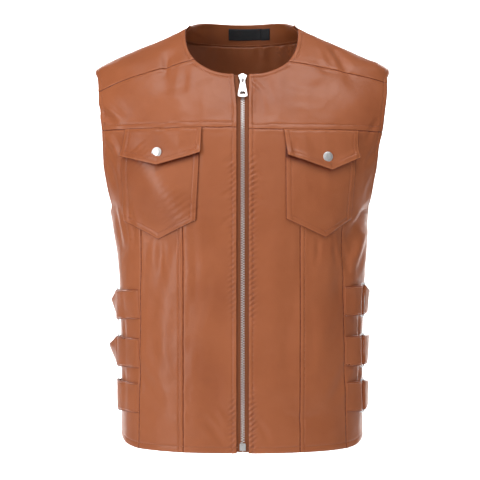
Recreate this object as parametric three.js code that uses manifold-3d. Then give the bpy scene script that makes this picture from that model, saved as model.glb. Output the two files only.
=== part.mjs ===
// A collarless leather vest with a full-length zip, two flapped chest pockets and three buckled
// straps on each side, filled out as it is when worn. Millimetres, +Z up, the front faces -Y and
// +X is the wearer's left. The origin lies between the two points where the neck meets the shoulders.
import * as THREE from 'three';
import { mergeVertices } from 'three/addons/utils/BufferGeometryUtils.js';
import Module from 'manifold-3d';

const wasm = await Module();
wasm.setup();

// Driving dimensions
const NECK_HALF_WIDTH = 88;      // neck point to centre line
const NECK_DROP = 82;            // neck points down to the front neck edge
const NECK_ROUNDNESS = 2.6;      // exponent of the neck's front curve
const BACK_NECK_RISE = 21;       // back neck above the neck points
const BACK_NECK_FLATNESS = 6;
const ARMHOLE_TOP = -64;         // shoulder tip
const ARMHOLE_BOTTOM = -290;
const ARMHOLE_FRONT = 60;        // how far the armhole is cut to the front and to the back
const ARMHOLE_BACK = 62;
const ARMHOLE_POINTEDNESS = { front: 1.5, back: 1.25 };  // towards the shoulder tip
const ARMHOLE_ROUNDNESS = 0.85;  // under the arm
const HEM_FRONT = -656;
const HEM_SIDE_RISE = 10;
const HEM_BACK_DROP = 4;
const LEATHER = 1.5;             // wall of a panel
const THIN = 1.2;                // wall of a pocket, strap or facing
const CLOTH = 1.0;               // wall of a lining, zip tape or label
const SEAM = 0.3;                // gap where two pieces meet
const ZIP_GAP = 8.7;             // centre line to a front edge
const SIDE_SEAM_DEG = 88;
const TAPE_END = -651.5;

// The form that fills the vest: one ring for each row, from the hem to the back of the neck.
// Depths run from the middle to the front and to the back, and square is the ring's exponent.
const SECTIONS = [
  { z: -664, halfWidth: 190.3, front: 120.5, back: 112, frontSquare: 2.35, backSquare: 2.2 },
  { z: -628, halfWidth: 190.5, front: 119.5, back: 110, frontSquare: 2.35, backSquare: 2.2 },
  { z: -551, halfWidth: 191.5, front: 117.5, back: 105, frontSquare: 2.35, backSquare: 2.2 },
  { z: -473, halfWidth: 192.3, front: 117, back: 103, frontSquare: 2.3, backSquare: 2.2 },
  { z: -407, halfWidth: 193.8, front: 118, back: 105, frontSquare: 2.3, backSquare: 2.2 },
  { z: -340, halfWidth: 200, front: 121, back: 111, frontSquare: 2.3, backSquare: 2.2 },
  { z: -290, halfWidth: 203.5, front: 123.5, back: 118, frontSquare: 2.3, backSquare: 2.2 },
  { z: -247, halfWidth: 217, front: 123, back: 125, frontSquare: 2.3, backSquare: 2.2 },
  { z: -201, halfWidth: 235, front: 117, back: 128, frontSquare: 2.3, backSquare: 2.15 },
  { z: -173, halfWidth: 246, front: 109, back: 127, frontSquare: 2.3, backSquare: 2.1 },
  { z: -148, halfWidth: 254, front: 99, back: 124, frontSquare: 2.3, backSquare: 2.1 },
  { z: -124, halfWidth: 256, front: 88.5, back: 120, frontSquare: 2.3, backSquare: 2.1 },
  { z: -105, halfWidth: 251, front: 79, back: 116, frontSquare: 2.3, backSquare: 2.05 },
  { z: -82, halfWidth: 239, front: 66.5, back: 111, frontSquare: 2.3, backSquare: 2 },
  { z: -64, halfWidth: 230, front: 56, back: 106, frontSquare: 2.3, backSquare: 1.95 },
  { z: -41, halfWidth: 180, front: 43, back: 99, frontSquare: 2.25, backSquare: 1.85 },
  { z: -24, halfWidth: 140, front: 32, back: 93, frontSquare: 2.2, backSquare: 1.8 },
  { z: -12, halfWidth: 113, front: 24, back: 88.5, frontSquare: 2.2, backSquare: 1.85 },
  { z: 0, halfWidth: 88, front: 15, back: 84, frontSquare: 2.2, backSquare: 2 },
  { z: 12, halfWidth: 80, front: 10, back: 78, frontSquare: 2.2, backSquare: 2.15 },
  { z: 26, halfWidth: 74, front: 8, back: 73, frontSquare: 2.2, backSquare: 2.2 },
];

// What differs between the wearer's right and left, as the vest hangs: heights of the yoke seam
// and of the shoulder seam at the neck and at the armhole, the upright front seam, and the
// outlines of pocket and flap. A lean is how far an edge's foot lies off its head.
const SIDES = [
  { name: 'right', sign: -1, yokeZ: -168, seamNeckZ: -57, seamArmZ: -106, edgeFlare: 4.5,
    princessX: 88.8,
    pocket: { inner: 64, outer: 178, leanInner: 4.5, leanOuter: -1, cornerInnerZ: -307,
      cornerOuterZ: -307, pointX: 127, pointZ: -336 },
    flap: { inner: 61.2, outer: 177.5, leanInner: 1.3, leanOuter: 1.5, cornerInnerZ: -207,
      cornerOuterZ: -210, pointX: 124, pointZ: -225.7 },
    snap: { x: 126, z: -206.5 } },
  { name: 'left', sign: 1, yokeZ: -170.5, seamNeckZ: -60, seamArmZ: -92, edgeFlare: 0.6,
    princessX: 86,
    pocket: { inner: 64, outer: 172.5, leanInner: 0, leanOuter: -6, cornerInnerZ: -305,
      cornerOuterZ: -304.5, pointX: 124, pointZ: -333 },
    flap: { inner: 61.2, outer: 175.6, leanInner: 5.2, leanOuter: 0, cornerInnerZ: -211,
      cornerOuterZ: -212.2, pointX: 130.5, pointZ: -232.3 },
    snap: { x: 126, z: -212.5 } },
];

// Where one side of the vest stands out more or less than the other: strongest at a height, faded
// over a spread, and growing across the body from one distance over another
const SWAYS = [
  { name: 'right armhole', sign: -1, z: -240, spread: 50, from: 110, over: 100, out: 7 },
  { name: 'left waist', sign: 1, z: -300, spread: 45, from: 120, over: 80, out: -3 },
  { name: 'left side', sign: 1, z: -470, spread: 130, from: 120, over: 80, out: -2 },
  { name: 'left chest', sign: 1, z: -195, spread: 24, from: 120, over: 80, out: -2.5 },
  { name: 'right neck', sign: -1, z: -20, spread: 50, from: 20, over: 60, out: 2.5 },
];

// The largest folds, each a soft ridge (height over 0) or trough along a line on the front.
const FOLDS = [
  { name: 'right armhole crease', x1: -203, z1: -287, x2: -186, z2: -345, width: 13, height: -4 },
  { name: 'right side swell', x1: -176, z1: -262, x2: -170, z2: -420, width: 17, height: 2.5 },
  { name: 'right pocket point dent', x1: -118, z1: -345, x2: -126, z2: -392, width: 14, height: -3 },
  { name: 'right panel swell', x1: -106, z1: -370, x2: -112, z2: -600, width: 24, height: 2.5 },
  { name: 'right centre swell', x1: -70, z1: -330, x2: -66, z2: -560, width: 22, height: 2 },
  { name: 'right shoulder dent', x1: -112, z1: -52, x2: -118, z2: -84, width: 14, height: -2.5 },
  { name: 'right hem dent', x1: -48, z1: -560, x2: -30, z2: -640, width: 20, height: -2.5 },
  { name: 'left armhole crease', x1: 190, z1: -296, x2: 170, z2: -332, width: 12, height: -3.5 },
  { name: 'left side ridge', x1: 184, z1: -330, x2: 168, z2: -400, width: 13, height: 3 },
  { name: 'left pocket corner dent', x1: 160, z1: -335, x2: 150, z2: -410, width: 15, height: -3 },
  { name: 'left panel swell', x1: 128, z1: -380, x2: 116, z2: -560, width: 26, height: 2.5 },
  { name: 'left centre swell', x1: 55, z1: -320, x2: 48, z2: -480, width: 24, height: 2 },
  { name: 'left shoulder dent', x1: 148, z1: -40, x2: 166, z2: -78, width: 14, height: -3 },
  { name: 'left neck dent', x1: 34, z1: -96, x2: 28, z2: -150, width: 12, height: -2 },
  { name: 'left hem dent', x1: 60, z1: -590, x2: 105, z2: -600, width: 18, height: -2 },
];

const lerp = (a, b, t) => a + (b - a) * t;
const clamp01 = (t) => Math.min(1, Math.max(0, t));
const smooth = (t) => clamp01(t) ** 2 * (3 - 2 * clamp01(t));
const radians = (degrees) => (degrees * Math.PI) / 180;
const steps = (from, to, count) =>
  Array.from({ length: count + 1 }, (_, i) => lerp(from, to, i / count));

// A smooth function of z through one column of the sections.
function column(key) {
  const zs = SECTIONS.map((row) => row.z);
  const values = SECTIONS.map((row) => row[key]);
  const last = zs.length - 1;
  const slopes = values.map((_, i) => {
    const before = Math.max(0, i - 1);
    const after = Math.min(last, i + 1);
    return (values[after] - values[before]) / (zs[after] - zs[before]);
  });
  return (z) => {
    let i = 0;
    while (i < last - 1 && z > zs[i + 1]) i++;
    const span = zs[i + 1] - zs[i];
    const t = (z - zs[i]) / span;
    const t2 = t * t;
    const t3 = t2 * t;
    return (2 * t3 - 3 * t2 + 1) * values[i] + (t3 - 2 * t2 + t) * span * slopes[i]
      + (3 * t2 - 2 * t3) * values[i + 1] + (t3 - t2) * span * slopes[i + 1];
  };
}
const halfWidth = column('halfWidth');
const frontDepth = column('front');
const backDepth = column('back');
const frontSquare = column('frontSquare');
const backSquare = column('backSquare');

// A place on the form is an angle and a height: 0 is the centre front, 90 degrees the wearer's
// left side, -90 the right side and 180 the centre back.
function evenPoint(angle, z) {
  const s = Math.sin(angle);
  const c = Math.cos(angle);
  const n = c >= 0 ? frontSquare(z) : backSquare(z);
  const depth = c >= 0 ? frontDepth(z) : backDepth(z);
  const reach = (Math.abs(s) ** n + Math.abs(c) ** n) ** (-1 / n);
  return new THREE.Vector3(halfWidth(z) * reach * s, -depth * reach * c, z);
}

// The same point with the sides' differences
function formPoint(angle, z) {
  const point = evenPoint(angle, z);
  const across = Math.abs(point.x);
  const sign = Math.sign(point.x);
  for (const sway of SWAYS)
    if (sway.sign === sign)
      point.x += sign * sway.out * Math.exp(-(((z - sway.z) / sway.spread) ** 2))
        * smooth((across - sway.from) / sway.over);
  return point;
}

function formNormal(angle, z) {
  const small = 0.004;
  const round = formPoint(angle + small, z).sub(formPoint(angle - small, z));
  const up = formPoint(angle, z + 0.8).sub(formPoint(angle, z - 0.8));
  return round.cross(up).normalize();
}

// How far the folds lift the cloth at a point of the front.
function foldHeight(point) {
  if (point.y > 0) return 0;
  let total = 0;
  for (const fold of FOLDS) {
    const dx = fold.x2 - fold.x1;
    const dz = fold.z2 - fold.z1;
    const length = Math.hypot(dx, dz);
    const along = ((point.x - fold.x1) * dx + (point.z - fold.z1) * dz) / length;
    const across = ((point.x - fold.x1) * dz - (point.z - fold.z1) * dx) / length;
    const beyond = Math.max(0, -along, along - length);
    total += fold.height * Math.exp(-((across / fold.width) ** 2))
      * Math.exp(-((beyond / (1.4 * fold.width)) ** 2));
  }
  return total * smooth(-point.y / 30);
}

// A point of the cloth, moved out from the form by an offset.
function clothPoint([angle, z], offset) {
  const point = formPoint(angle, z);
  return point.addScaledVector(formNormal(angle, z), foldHeight(point) + offset);
}

// Places on the form, found from what is known of them
const placeFront = (x, z) => {
  const across = Math.min(1, Math.abs(x) / halfWidth(z));
  const ahead = (1 - across ** frontSquare(z)) ** (1 / frontSquare(z));
  return [Math.sign(x) * Math.atan2(across, ahead), z];
};
const placeBack = (x, z) => {
  const across = Math.min(1, Math.abs(x) / halfWidth(z));
  const behind = (1 - across ** backSquare(z)) ** (1 / backSquare(z));
  return [(Math.sign(x) || 1) * (Math.PI - Math.atan2(across, behind)), z];
};
const placeSide = (sign, y, z) => {
  const n = y < 0 ? frontSquare(z) : backSquare(z);
  const away = Math.abs(y) / (y < 0 ? frontDepth(z) : backDepth(z));
  const across = (1 - away ** n) ** (1 / n);
  return [sign * Math.atan2(across, -Math.sign(y) * away), z];
};
const placeHem = (angle) => {
  const turn = (Math.abs(angle) * 180) / Math.PI;
  const rise = HEM_SIDE_RISE * smooth((turn - 50) / 38);
  return [angle, HEM_FRONT + rise - HEM_BACK_DROP * smooth((turn - 110) / 60)];
};

// The armhole's edge, an oval seen from the side: turn is 0 at the shoulder tip and 180 below.
function placeArmhole(sign, turn, ahead) {
  const middle = (ARMHOLE_TOP + ARMHOLE_BOTTOM) / 2;
  const height = (ARMHOLE_TOP - ARMHOLE_BOTTOM) / 2;
  const z = middle + height * Math.cos(turn);
  const pointedness = ahead ? ARMHOLE_POINTEDNESS.front : ARMHOLE_POINTEDNESS.back;
  const power = turn < Math.PI / 2 ? pointedness : ARMHOLE_ROUNDNESS;
  const reach = Math.max(1e-6, Math.sin(turn)) ** power;
  const y = ahead ? -ARMHOLE_FRONT * reach : ARMHOLE_BACK * reach;
  return placeSide(sign, y || 1e-3, z);
}
const armholeTurn = (z) => {
  const middle = (ARMHOLE_TOP + ARMHOLE_BOTTOM) / 2;
  const height = (ARMHOLE_TOP - ARMHOLE_BOTTOM) / 2;
  return Math.acos(Math.min(1, Math.max(-1, (z - middle) / height)));
};

// The neck's edge: share 0 is the centre front, 1 the neck point.
function placeNeckFront(sign, x) {
  const across = Math.min(1, Math.abs(x) / NECK_HALF_WIDTH);
  const z = -NECK_DROP * (1 - across ** NECK_ROUNDNESS) ** (1 / NECK_ROUNDNESS);
  return placeFront(sign * Math.abs(x), z);
}
const neckXAt = (z) =>
  NECK_HALF_WIDTH * (1 - (-z / NECK_DROP) ** NECK_ROUNDNESS) ** (1 / NECK_ROUNDNESS);
function placeNeckBack(x) {
  const across = Math.min(1, Math.abs(x) / NECK_HALF_WIDTH);
  return placeBack(x, BACK_NECK_RISE * (1 - across ** BACK_NECK_FLATNESS));
}

// A grid of places between four edges. Each edge is a list, and opposite ones are as long.
function fill(bottom, top, first, last) {
  const columns = bottom.length - 1;
  const rows = first.length - 1;
  const mix = (a, b, t) => [lerp(a[0], b[0], t), lerp(a[1], b[1], t)];
  return first.map((_, j) => bottom.map((__, i) => {
    const u = i / columns;
    const v = j / rows;
    const across = mix(first[j], last[j], u);
    const up = mix(bottom[i], top[i], v);
    const corners = mix(mix(bottom[0], bottom[columns], u), mix(top[0], top[columns], u), v);
    return [across[0] + up[0] - corners[0], across[1] + up[1] - corners[1]];
  }));
}

// A closed wall from patches of points, each with an inner and an outer grid. Patches join where
// their points meet, and a rim closes the wall along every other edge.
function wallOf(patches) {
  const positions = [];
  const triangles = [];
  const known = new Map();
  const vertex = (inside, outside) => {
    const key = inside.toArray().map((c) => Math.round(c * 1000)).join();
    if (!known.has(key)) {
      known.set(key, positions.length / 6);
      positions.push(...inside.toArray(), ...outside.toArray());
    }
    return known.get(key);
  };
  const faces = [];
  for (const { inside, outside } of patches) {
    const index = inside.map((row, j) => row.map((p, i) => vertex(p, outside[j][i])));
    for (let j = 0; j < index.length - 1; j++)
      for (let i = 0; i < index[0].length - 1; i++) {
        const [a, b, c, d] = [index[j][i], index[j][i + 1], index[j + 1][i + 1], index[j + 1][i]];
        faces.push([a, b, c], [a, c, d]);
      }
  }
  const edges = new Set();
  for (const [a, b, c] of faces) {
    triangles.push(2 * a + 1, 2 * b + 1, 2 * c + 1, 2 * a, 2 * c, 2 * b);
    for (const edge of [[a, b], [b, c], [c, a]]) edges.add(edge.join());
  }
  for (const edge of edges) {
    const [a, b] = edge.split(',').map(Number);
    if (!edges.has([b, a].join()))
      triangles.push(2 * b + 1, 2 * a + 1, 2 * a, 2 * b + 1, 2 * a, 2 * b);
  }
  return closed(positions, triangles);
}

// A geometry whose faces point out, whichever way round its triangles were listed.
function closed(positions, triangles) {
  let volume = 0;
  const corner = (k) => new THREE.Vector3().fromArray(positions, 3 * k);
  for (let k = 0; k < triangles.length; k += 3) {
    const [a, b, c] = [corner(triangles[k]), corner(triangles[k + 1]), corner(triangles[k + 2])];
    volume += a.dot(b.cross(c));
  }
  if (volume < 0)
    for (let k = 0; k < triangles.length; k += 3)
      [triangles[k + 1], triangles[k + 2]] = [triangles[k + 2], triangles[k + 1]];
  const geometry = new THREE.BufferGeometry();
  geometry.setAttribute('position', new THREE.Float32BufferAttribute(positions, 3));
  geometry.setIndex(triangles);
  return geometry;
}

// A wall on the form: grids of places, moved out to its inner and outer faces. The offset may be
// a number or a function of the place.
function clothWall(grids, offset, thickness) {
  const lift = (place) => (typeof offset === 'function' ? offset(place) : offset);
  const face = (grid, more) => grid.map((row) => row.map((p) => clothPoint(p, lift(p) + more)));
  return wallOf(grids.map((grid) => ({ inside: face(grid, 0), outside: face(grid, thickness) })));
}

// A flat plate from an outline and its holes, as thick as its depth
function plate(outline, holes, depth) {
  const vectors = (points) => points.map(([x, y]) => new THREE.Vector2(x, y));
  const shape = new THREE.Shape(vectors(outline));
  for (const hole of holes) shape.holes.push(new THREE.Path(vectors(hole)));
  const geometry = new THREE.ExtrudeGeometry(shape, { depth, bevelEnabled: false });
  geometry.deleteAttribute('normal');
  geometry.deleteAttribute('uv');
  return mergeVertices(geometry, 1e-4);
}

// A turned solid from a profile of radius and height, which starts and ends on the axis
function turned(profile, segments) {
  const positions = [0, 0, profile[0][1]];
  const triangles = [];
  const rings = profile.slice(1, -1);
  for (const [radius, height] of rings)
    for (let k = 0; k < segments; k++) {
      const angle = (2 * Math.PI * k) / segments;
      positions.push(radius * Math.cos(angle), radius * Math.sin(angle), height);
    }
  positions.push(0, 0, profile[profile.length - 1][1]);
  const last = 1 + rings.length * segments;
  const at = (ring, k) => 1 + ring * segments + (k % segments);
  for (let k = 0; k < segments; k++) {
    triangles.push(0, at(0, k + 1), at(0, k));
    triangles.push(last, at(rings.length - 1, k), at(rings.length - 1, k + 1));
    for (let ring = 0; ring < rings.length - 1; ring++) {
      const [a, b] = [at(ring, k), at(ring, k + 1)];
      const [c, d] = [at(ring + 1, k + 1), at(ring + 1, k)];
      triangles.push(a, b, c, a, c, d);
    }
  }
  return closed(positions, triangles);
}

// Two solids joined into one
function joined(first, second) {
  const solids = [first, second].map((geometry) => new wasm.Manifold(new wasm.Mesh({
    numProp: 3,
    vertProperties: Float32Array.from(geometry.getAttribute('position').array),
    triVerts: Uint32Array.from(geometry.getIndex().array),
  })));
  const mesh = solids[0].add(solids[1]).getMesh();
  const positions = [];
  for (let k = 0; k < mesh.numVert; k++)
    positions.push(...mesh.vertProperties.slice(k * mesh.numProp, k * mesh.numProp + 3));
  return closed(positions, Array.from(mesh.triVerts));
}

// The frame of a hard piece: X runs round the body, Y up the cloth and Z out of it
function frameAt(place, offset) {
  const normal = formNormal(...place);
  const up = new THREE.Vector3(0, 0, 1).addScaledVector(normal, -normal.z).normalize();
  const right = up.clone().cross(normal);
  return new THREE.Matrix4().makeBasis(right, up, normal).setPosition(clothPoint(place, offset));
}

const materials = {
  leather: new THREE.MeshStandardMaterial({ color: 0xa9623f, roughness: 0.42, metalness: 0 }),
  inner: new THREE.MeshStandardMaterial({ color: 0x6e3a20, roughness: 0.6, metalness: 0 }),
  lining: new THREE.MeshStandardMaterial({ color: 0x6b3318, roughness: 0.55, metalness: 0 }),
  label: new THREE.MeshStandardMaterial({ color: 0x15161a, roughness: 0.7, metalness: 0 }),
  tape: new THREE.MeshStandardMaterial({ color: 0x7c4330, roughness: 0.8, metalness: 0 }),
  metal: new THREE.MeshStandardMaterial({ color: 0xd9d9dc, roughness: 0.25, metalness: 1 }),
};

const vest = new THREE.Group();
function add(name, geometry, material) {
  const mesh = new THREE.Mesh(geometry, materials[material]);
  mesh.name = name;
  vest.add(mesh);
  return mesh;
}

// Columns across the front, shared by the yoke and the panels under it, and rows up the body
const CENTRE_COLUMNS = 6;
const MID_COLUMNS = 4;
const SIDE_COLUMNS = 4;
const NECK_COLUMNS = 5;
const BODY_ROWS = 17;
const YOKE_ROWS = 4;
const SHOULDER_ROWS = 4;
const sideSeamX = (z) => lerp(158, 151, clamp01((z - HEM_FRONT) / 480));
const edgeX = (side, z) =>
  ZIP_GAP + side.edgeFlare * smooth((z + 140) / 62);

// Where the armhole crosses a height on the front
const armholeXAt = (side, z) =>
  Math.abs(evenPoint(...placeArmhole(side.sign, armholeTurn(z), true)).x);

// A lower front panel between two upright lines, from the hem to the yoke seam
function uprightPanel(side, xAtFirst, xAtLast, columns) {
  const top = side.yokeZ - SEAM / 2;
  const line = (xAt) => {
    const foot = placeHem(placeFront(side.sign * xAt(HEM_FRONT), HEM_FRONT)[0])[1];
    return steps(foot, top, BODY_ROWS).map((z) => placeFront(side.sign * xAt(z), z));
  };
  const first = line(xAtFirst);
  const last = line(xAtLast);
  const bottom = steps(first[0][0], last[0][0], columns).map((angle) => placeHem(angle));
  const across = steps(xAtFirst(top), xAtLast(top), columns);
  return fill(bottom, across.map((x) => placeFront(side.sign * x, top)), first, last);
}

// The lower front panel that reaches the side: its last edge climbs the side seam, then the armhole
function sidePanel(side) {
  const top = side.yokeZ - SEAM / 2;
  const seamAngle = side.sign * (radians(SIDE_SEAM_DEG) - SEAM / 240);
  const hemEdge = placeHem(seamAngle)[1];
  const first = steps(placeHem(placeFront(side.sign * sideSeamX(HEM_FRONT), HEM_FRONT)[0])[1],
    top, BODY_ROWS).map((z) => placeFront(side.sign * (sideSeamX(z) + SEAM / 2), z));
  const armRows = 5;
  const turns = steps(Math.PI - 0.02, armholeTurn(top), armRows);
  const seam = steps(hemEdge, ARMHOLE_BOTTOM, BODY_ROWS - armRows)
    .slice(0, -1).map((z) => [seamAngle, z]);
  const last = [...seam, ...turns.map((turn) => placeArmhole(side.sign, turn, true))];
  const bottom = steps(first[0][0], last[0][0], SIDE_COLUMNS).map((angle) => placeHem(angle));
  const across = steps(sideSeamX(top) + SEAM / 2, armholeXAt(side, top), SIDE_COLUMNS);
  return fill(bottom, across.map((x) => placeFront(side.sign * x, top)), first, last);
}

// The shoulder seam runs from the neck's edge to the armhole's
const shoulderSeam = (side, shift) => {
  const neckZ = side.seamNeckZ + shift;
  const armZ = side.seamArmZ + shift;
  const neckX = neckXAt(neckZ);
  const armX = armholeXAt(side, armZ);
  const count = CENTRE_COLUMNS + MID_COLUMNS + SIDE_COLUMNS - NECK_COLUMNS;
  return steps(0, 1, count).map((t) =>
    placeFront(side.sign * lerp(neckX, armX, t), lerp(neckZ, armZ, t) + 3 * Math.sin(Math.PI * t)));
};

function yoke(side) {
  const foot = side.yokeZ + SEAM / 2;
  const bottomX = [
    ...steps(edgeX(side, foot), side.princessX, CENTRE_COLUMNS).slice(0, -1),
    ...steps(side.princessX, sideSeamX(foot), MID_COLUMNS).slice(0, -1),
    ...steps(sideSeamX(foot), armholeXAt(side, foot), SIDE_COLUMNS),
  ];
  const bottom = bottomX.map((x) => placeFront(side.sign * x, foot));
  const seam = shoulderSeam(side, -SEAM / 2);
  const startX = edgeX(side, -NECK_DROP);
  const cornerX = neckXAt(side.seamNeckZ - SEAM / 2);
  const neck = steps(0, 1, NECK_COLUMNS).slice(0, -1).map((t) =>
    placeNeckFront(side.sign, lerp(startX, cornerX, t ** 0.75)));
  const first = steps(foot, neck[0][1], YOKE_ROWS)
    .map((z) => placeFront(side.sign * edgeX(side, z), z));
  const last = steps(armholeTurn(foot), armholeTurn(seam[seam.length - 1][1]), YOKE_ROWS)
    .map((turn) => placeArmhole(side.sign, turn, true));
  return fill(bottom, [...neck, ...seam], first, last);
}

// The ridge of the shoulder, from the neck point out to the tip
const ridge = (sign, y, count) =>
  steps(0, 1, count).map((t) => placeSide(sign, y, lerp(-0.4, ARMHOLE_TOP - 0.4, t)));

function shoulder(side) {
  const bottom = shoulderSeam(side, SEAM / 2);
  const count = bottom.length - 1;
  const top = ridge(side.sign, -SEAM / 2, count);
  const first = steps(bottom[0][1], top[0][1], SHOULDER_ROWS).map((z, j) =>
    (j === SHOULDER_ROWS ? top[0] : placeFront(side.sign * neckXAt(z), z)));
  const last = steps(armholeTurn(bottom[count][1]), armholeTurn(ARMHOLE_TOP - 0.4), SHOULDER_ROWS)
    .map((turn, j) => (j === SHOULDER_ROWS ? top[count] : placeArmhole(side.sign, turn, true)));
  return fill(bottom, top, first, last);
}

// Half of a piece of the back, from the side seam to the centre line. Its first edge climbs the
// seam and the armhole, its last edge the centre line and the neck.
function halfBack(sign, rows, columns, foot, neckEdge, ridgeLine) {
  const seamAngle = sign * (radians(SIDE_SEAM_DEG) + SEAM / 240);
  const tip = ridgeLine[ridgeLine.length - 1];
  const turns = steps(Math.PI - 0.02, armholeTurn(tip[1]), rows.armhole);
  const first = [
    ...steps(foot(seamAngle)[1], ARMHOLE_BOTTOM, rows.seam).slice(0, -1).map((z) => [seamAngle, z]),
    ...turns.map((turn, j) => (j === rows.armhole ? tip : placeArmhole(sign, turn, false))),
  ];
  const centreRows = first.length - neckEdge.length;
  const centre = steps(0, 1, centreRows).slice(0, -1).map((t) =>
    [sign * Math.PI, lerp(neckEdge[0][1], foot(Math.PI)[1], (1 - t) ** BACK_ROW_EASE)]);
  const bottom = steps(seamAngle, sign * Math.PI, columns).map((angle) => foot(angle));
  return fill(bottom, ridgeLine.slice().reverse(), first, [...centre, ...neckEdge]);
}
const BACK_ROW_EASE = 1.35;      // rows are closer towards the neck
const bothHalves = (half) => [half(-1), half(1).map((row) => row.slice().reverse())];

// Panels of the body
for (const side of SIDES) {
  const centre = uprightPanel(side, (z) => edgeX(side, z), () => side.princessX - SEAM / 2,
    CENTRE_COLUMNS);
  add(`front_center_${side.name}`, clothWall([centre], 0, LEATHER), 'leather');
  const middle = uprightPanel(side, () => side.princessX + SEAM / 2,
    (z) => sideSeamX(z) - SEAM / 2, MID_COLUMNS);
  add(`front_middle_${side.name}`, clothWall([middle], 0, LEATHER), 'leather');
  add(`front_side_${side.name}`, clothWall([sidePanel(side)], 0, LEATHER), 'leather');
  add(`front_yoke_${side.name}`, clothWall([yoke(side)], 0, LEATHER), 'leather');
  add(`shoulder_${side.name}`, clothWall([shoulder(side)], 0, LEATHER), 'leather');
}
const BACK_COLUMNS = 12;
add('back_panel', clothWall(bothHalves((sign) => {
  const ridgeLine = ridge(sign, SEAM / 2, BACK_COLUMNS);
  const neck = steps(0, 1, 5).map((t) => (t === 1 ? ridgeLine[0]
    : placeNeckBack(sign * NECK_HALF_WIDTH * Math.sin((Math.PI / 2) * t))));
  neck[0] = [sign * Math.PI, BACK_NECK_RISE];
  return halfBack(sign, { seam: 11, armhole: 15 }, BACK_COLUMNS, placeHem, neck, ridgeLine);
}), 0, LEATHER), 'leather');

// The facing inside the back neck, and the lining below it
const FACING_FOOT = { centre: -13, ridge: -9 };
const FACING_COLUMNS = 16;
const facingFoot = (angle, shift) => {
  const turn = Math.min(1, Math.abs(Math.PI - Math.abs(angle)) / (Math.PI / 2));
  return [angle, lerp(FACING_FOOT.centre, FACING_FOOT.ridge, turn) + shift];
};
const RIDGE_INSET = 0.02;        // radians short of the shoulder ridge
const backAngles = (count) =>
  steps(Math.PI / 2 + RIDGE_INSET, (3 * Math.PI) / 2 - RIDGE_INSET, count);
const facingGrid = backAngles(FACING_COLUMNS).map((angle, i) => {
  const top = placeNeckBack(NECK_HALF_WIDTH * 0.996 * Math.cos((Math.PI * i) / FACING_COLUMNS));
  const topAngle = i === FACING_COLUMNS / 2 ? Math.PI : (top[0] + 2 * Math.PI) % (2 * Math.PI);
  const foot = facingFoot(angle, SEAM / 2);
  return steps(0, 1, 3).map((t) => [lerp(foot[0], topAngle, t), lerp(foot[1], top[1] - 0.5, t)]);
});
const FACING_OFFSET = -2 - THIN;
add('back_neck_facing', clothWall([facingGrid], FACING_OFFSET, THIN), 'inner');

const LINING_COLUMNS = 8;
const LINING_OFFSET = -2.9 - CLOTH;
const liningFoot = (angle) => [angle, placeHem(angle)[1] + 10];
add('back_lining', clothWall(bothHalves((sign) => {
  const foot = facingFoot(sign * (Math.PI / 2 + RIDGE_INSET), -SEAM / 2);
  const ridgeLine = steps(foot[1], ARMHOLE_TOP - 2, LINING_COLUMNS)
    .map((z) => [sign * (Math.PI / 2 + RIDGE_INSET), z]);
  const seam = steps(Math.PI, Math.PI / 2 + RIDGE_INSET, FACING_COLUMNS / 2)
    .map((angle) => facingFoot(sign * angle, -SEAM / 2));
  ridgeLine[0] = seam[seam.length - 1];
  return halfBack(sign, { seam: 9, armhole: 12 }, LINING_COLUMNS, liningFoot, seam, ridgeLine);
}), LINING_OFFSET, CLOTH), 'lining');

// The neck label and its size tab, on the facing
const LABEL_OFFSET = FACING_OFFSET - 0.5 - 0.8;
const backPatch = (x1, x2, z1, z2, columns, rows) =>
  steps(z1, z2, rows).map((z) => steps(x1, x2, columns).map((x) => {
    const [angle] = placeBack(x, z);
    return [(angle + 2 * Math.PI) % (2 * Math.PI), z];
  }));
add('neck_label', clothWall([backPatch(-24, 32.7, -2, 15.3, 6, 2)], LABEL_OFFSET, 0.8), 'label');
add('size_tab', clothWall([backPatch(33, 47, -2.6, 14.4, 2, 2)], LABEL_OFFSET, 0.8), 'label');

// Chest pockets and their flaps
const POCKET_MOUTH_DROP = 11;    // below the yoke seam, under the flap
const POCKET_SWELL = 3.2;
const FLAP_LIFT_OVER = 4.5;      // how soon the flap rises from the seam over the pocket
const POCKET_OFFSET = LEATHER + 0.7;
const FLAP_OFFSET = POCKET_OFFSET + THIN + 0.7;
const pocketSwell = (side, place) => {
  const { inner, outer } = side.pocket;
  const x = Math.abs(evenPoint(...place).x);
  const across = Math.sin(Math.PI * clamp01((x - inner) / (outer - inner)));
  const down = Math.sin(Math.PI * clamp01((place[1] + 335) / 165));
  return POCKET_SWELL * across ** 0.7 * down ** 0.8;
};
// A patch in front between two edges, with a pointed foot
function pointedPatch(side, outline, topZ, shares) {
  const { inner, outer, leanInner, leanOuter, cornerInnerZ, cornerOuterZ, pointX, pointZ } = outline;
  const xs = [...steps(inner, pointX, 4), ...steps(pointX, outer, 4).slice(1)];
  const footZ = (x) => (x < pointX
    ? lerp(cornerInnerZ, pointZ, (x - inner) / (pointX - inner))
    : lerp(pointZ, cornerOuterZ, (x - pointX) / (outer - pointX)));
  const lean = (x) => (x < pointX
    ? leanInner * (1 - (x - inner) / (pointX - inner))
    : leanOuter * ((x - pointX) / (outer - pointX)));
  return shares.map((t) => xs.map((x) =>
    placeFront(side.sign * (x + lean(x) * (1 - t)), lerp(footZ(x), topZ, t))));
}
const SNAP_PROFILE = [
  [0, 0], [7.5, 0], [7.6, 0.7], [6.9, 1.5], [5.7, 1.9], [4.7, 1.5], [3.6, 1.9], [0, 2.2],
];
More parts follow.
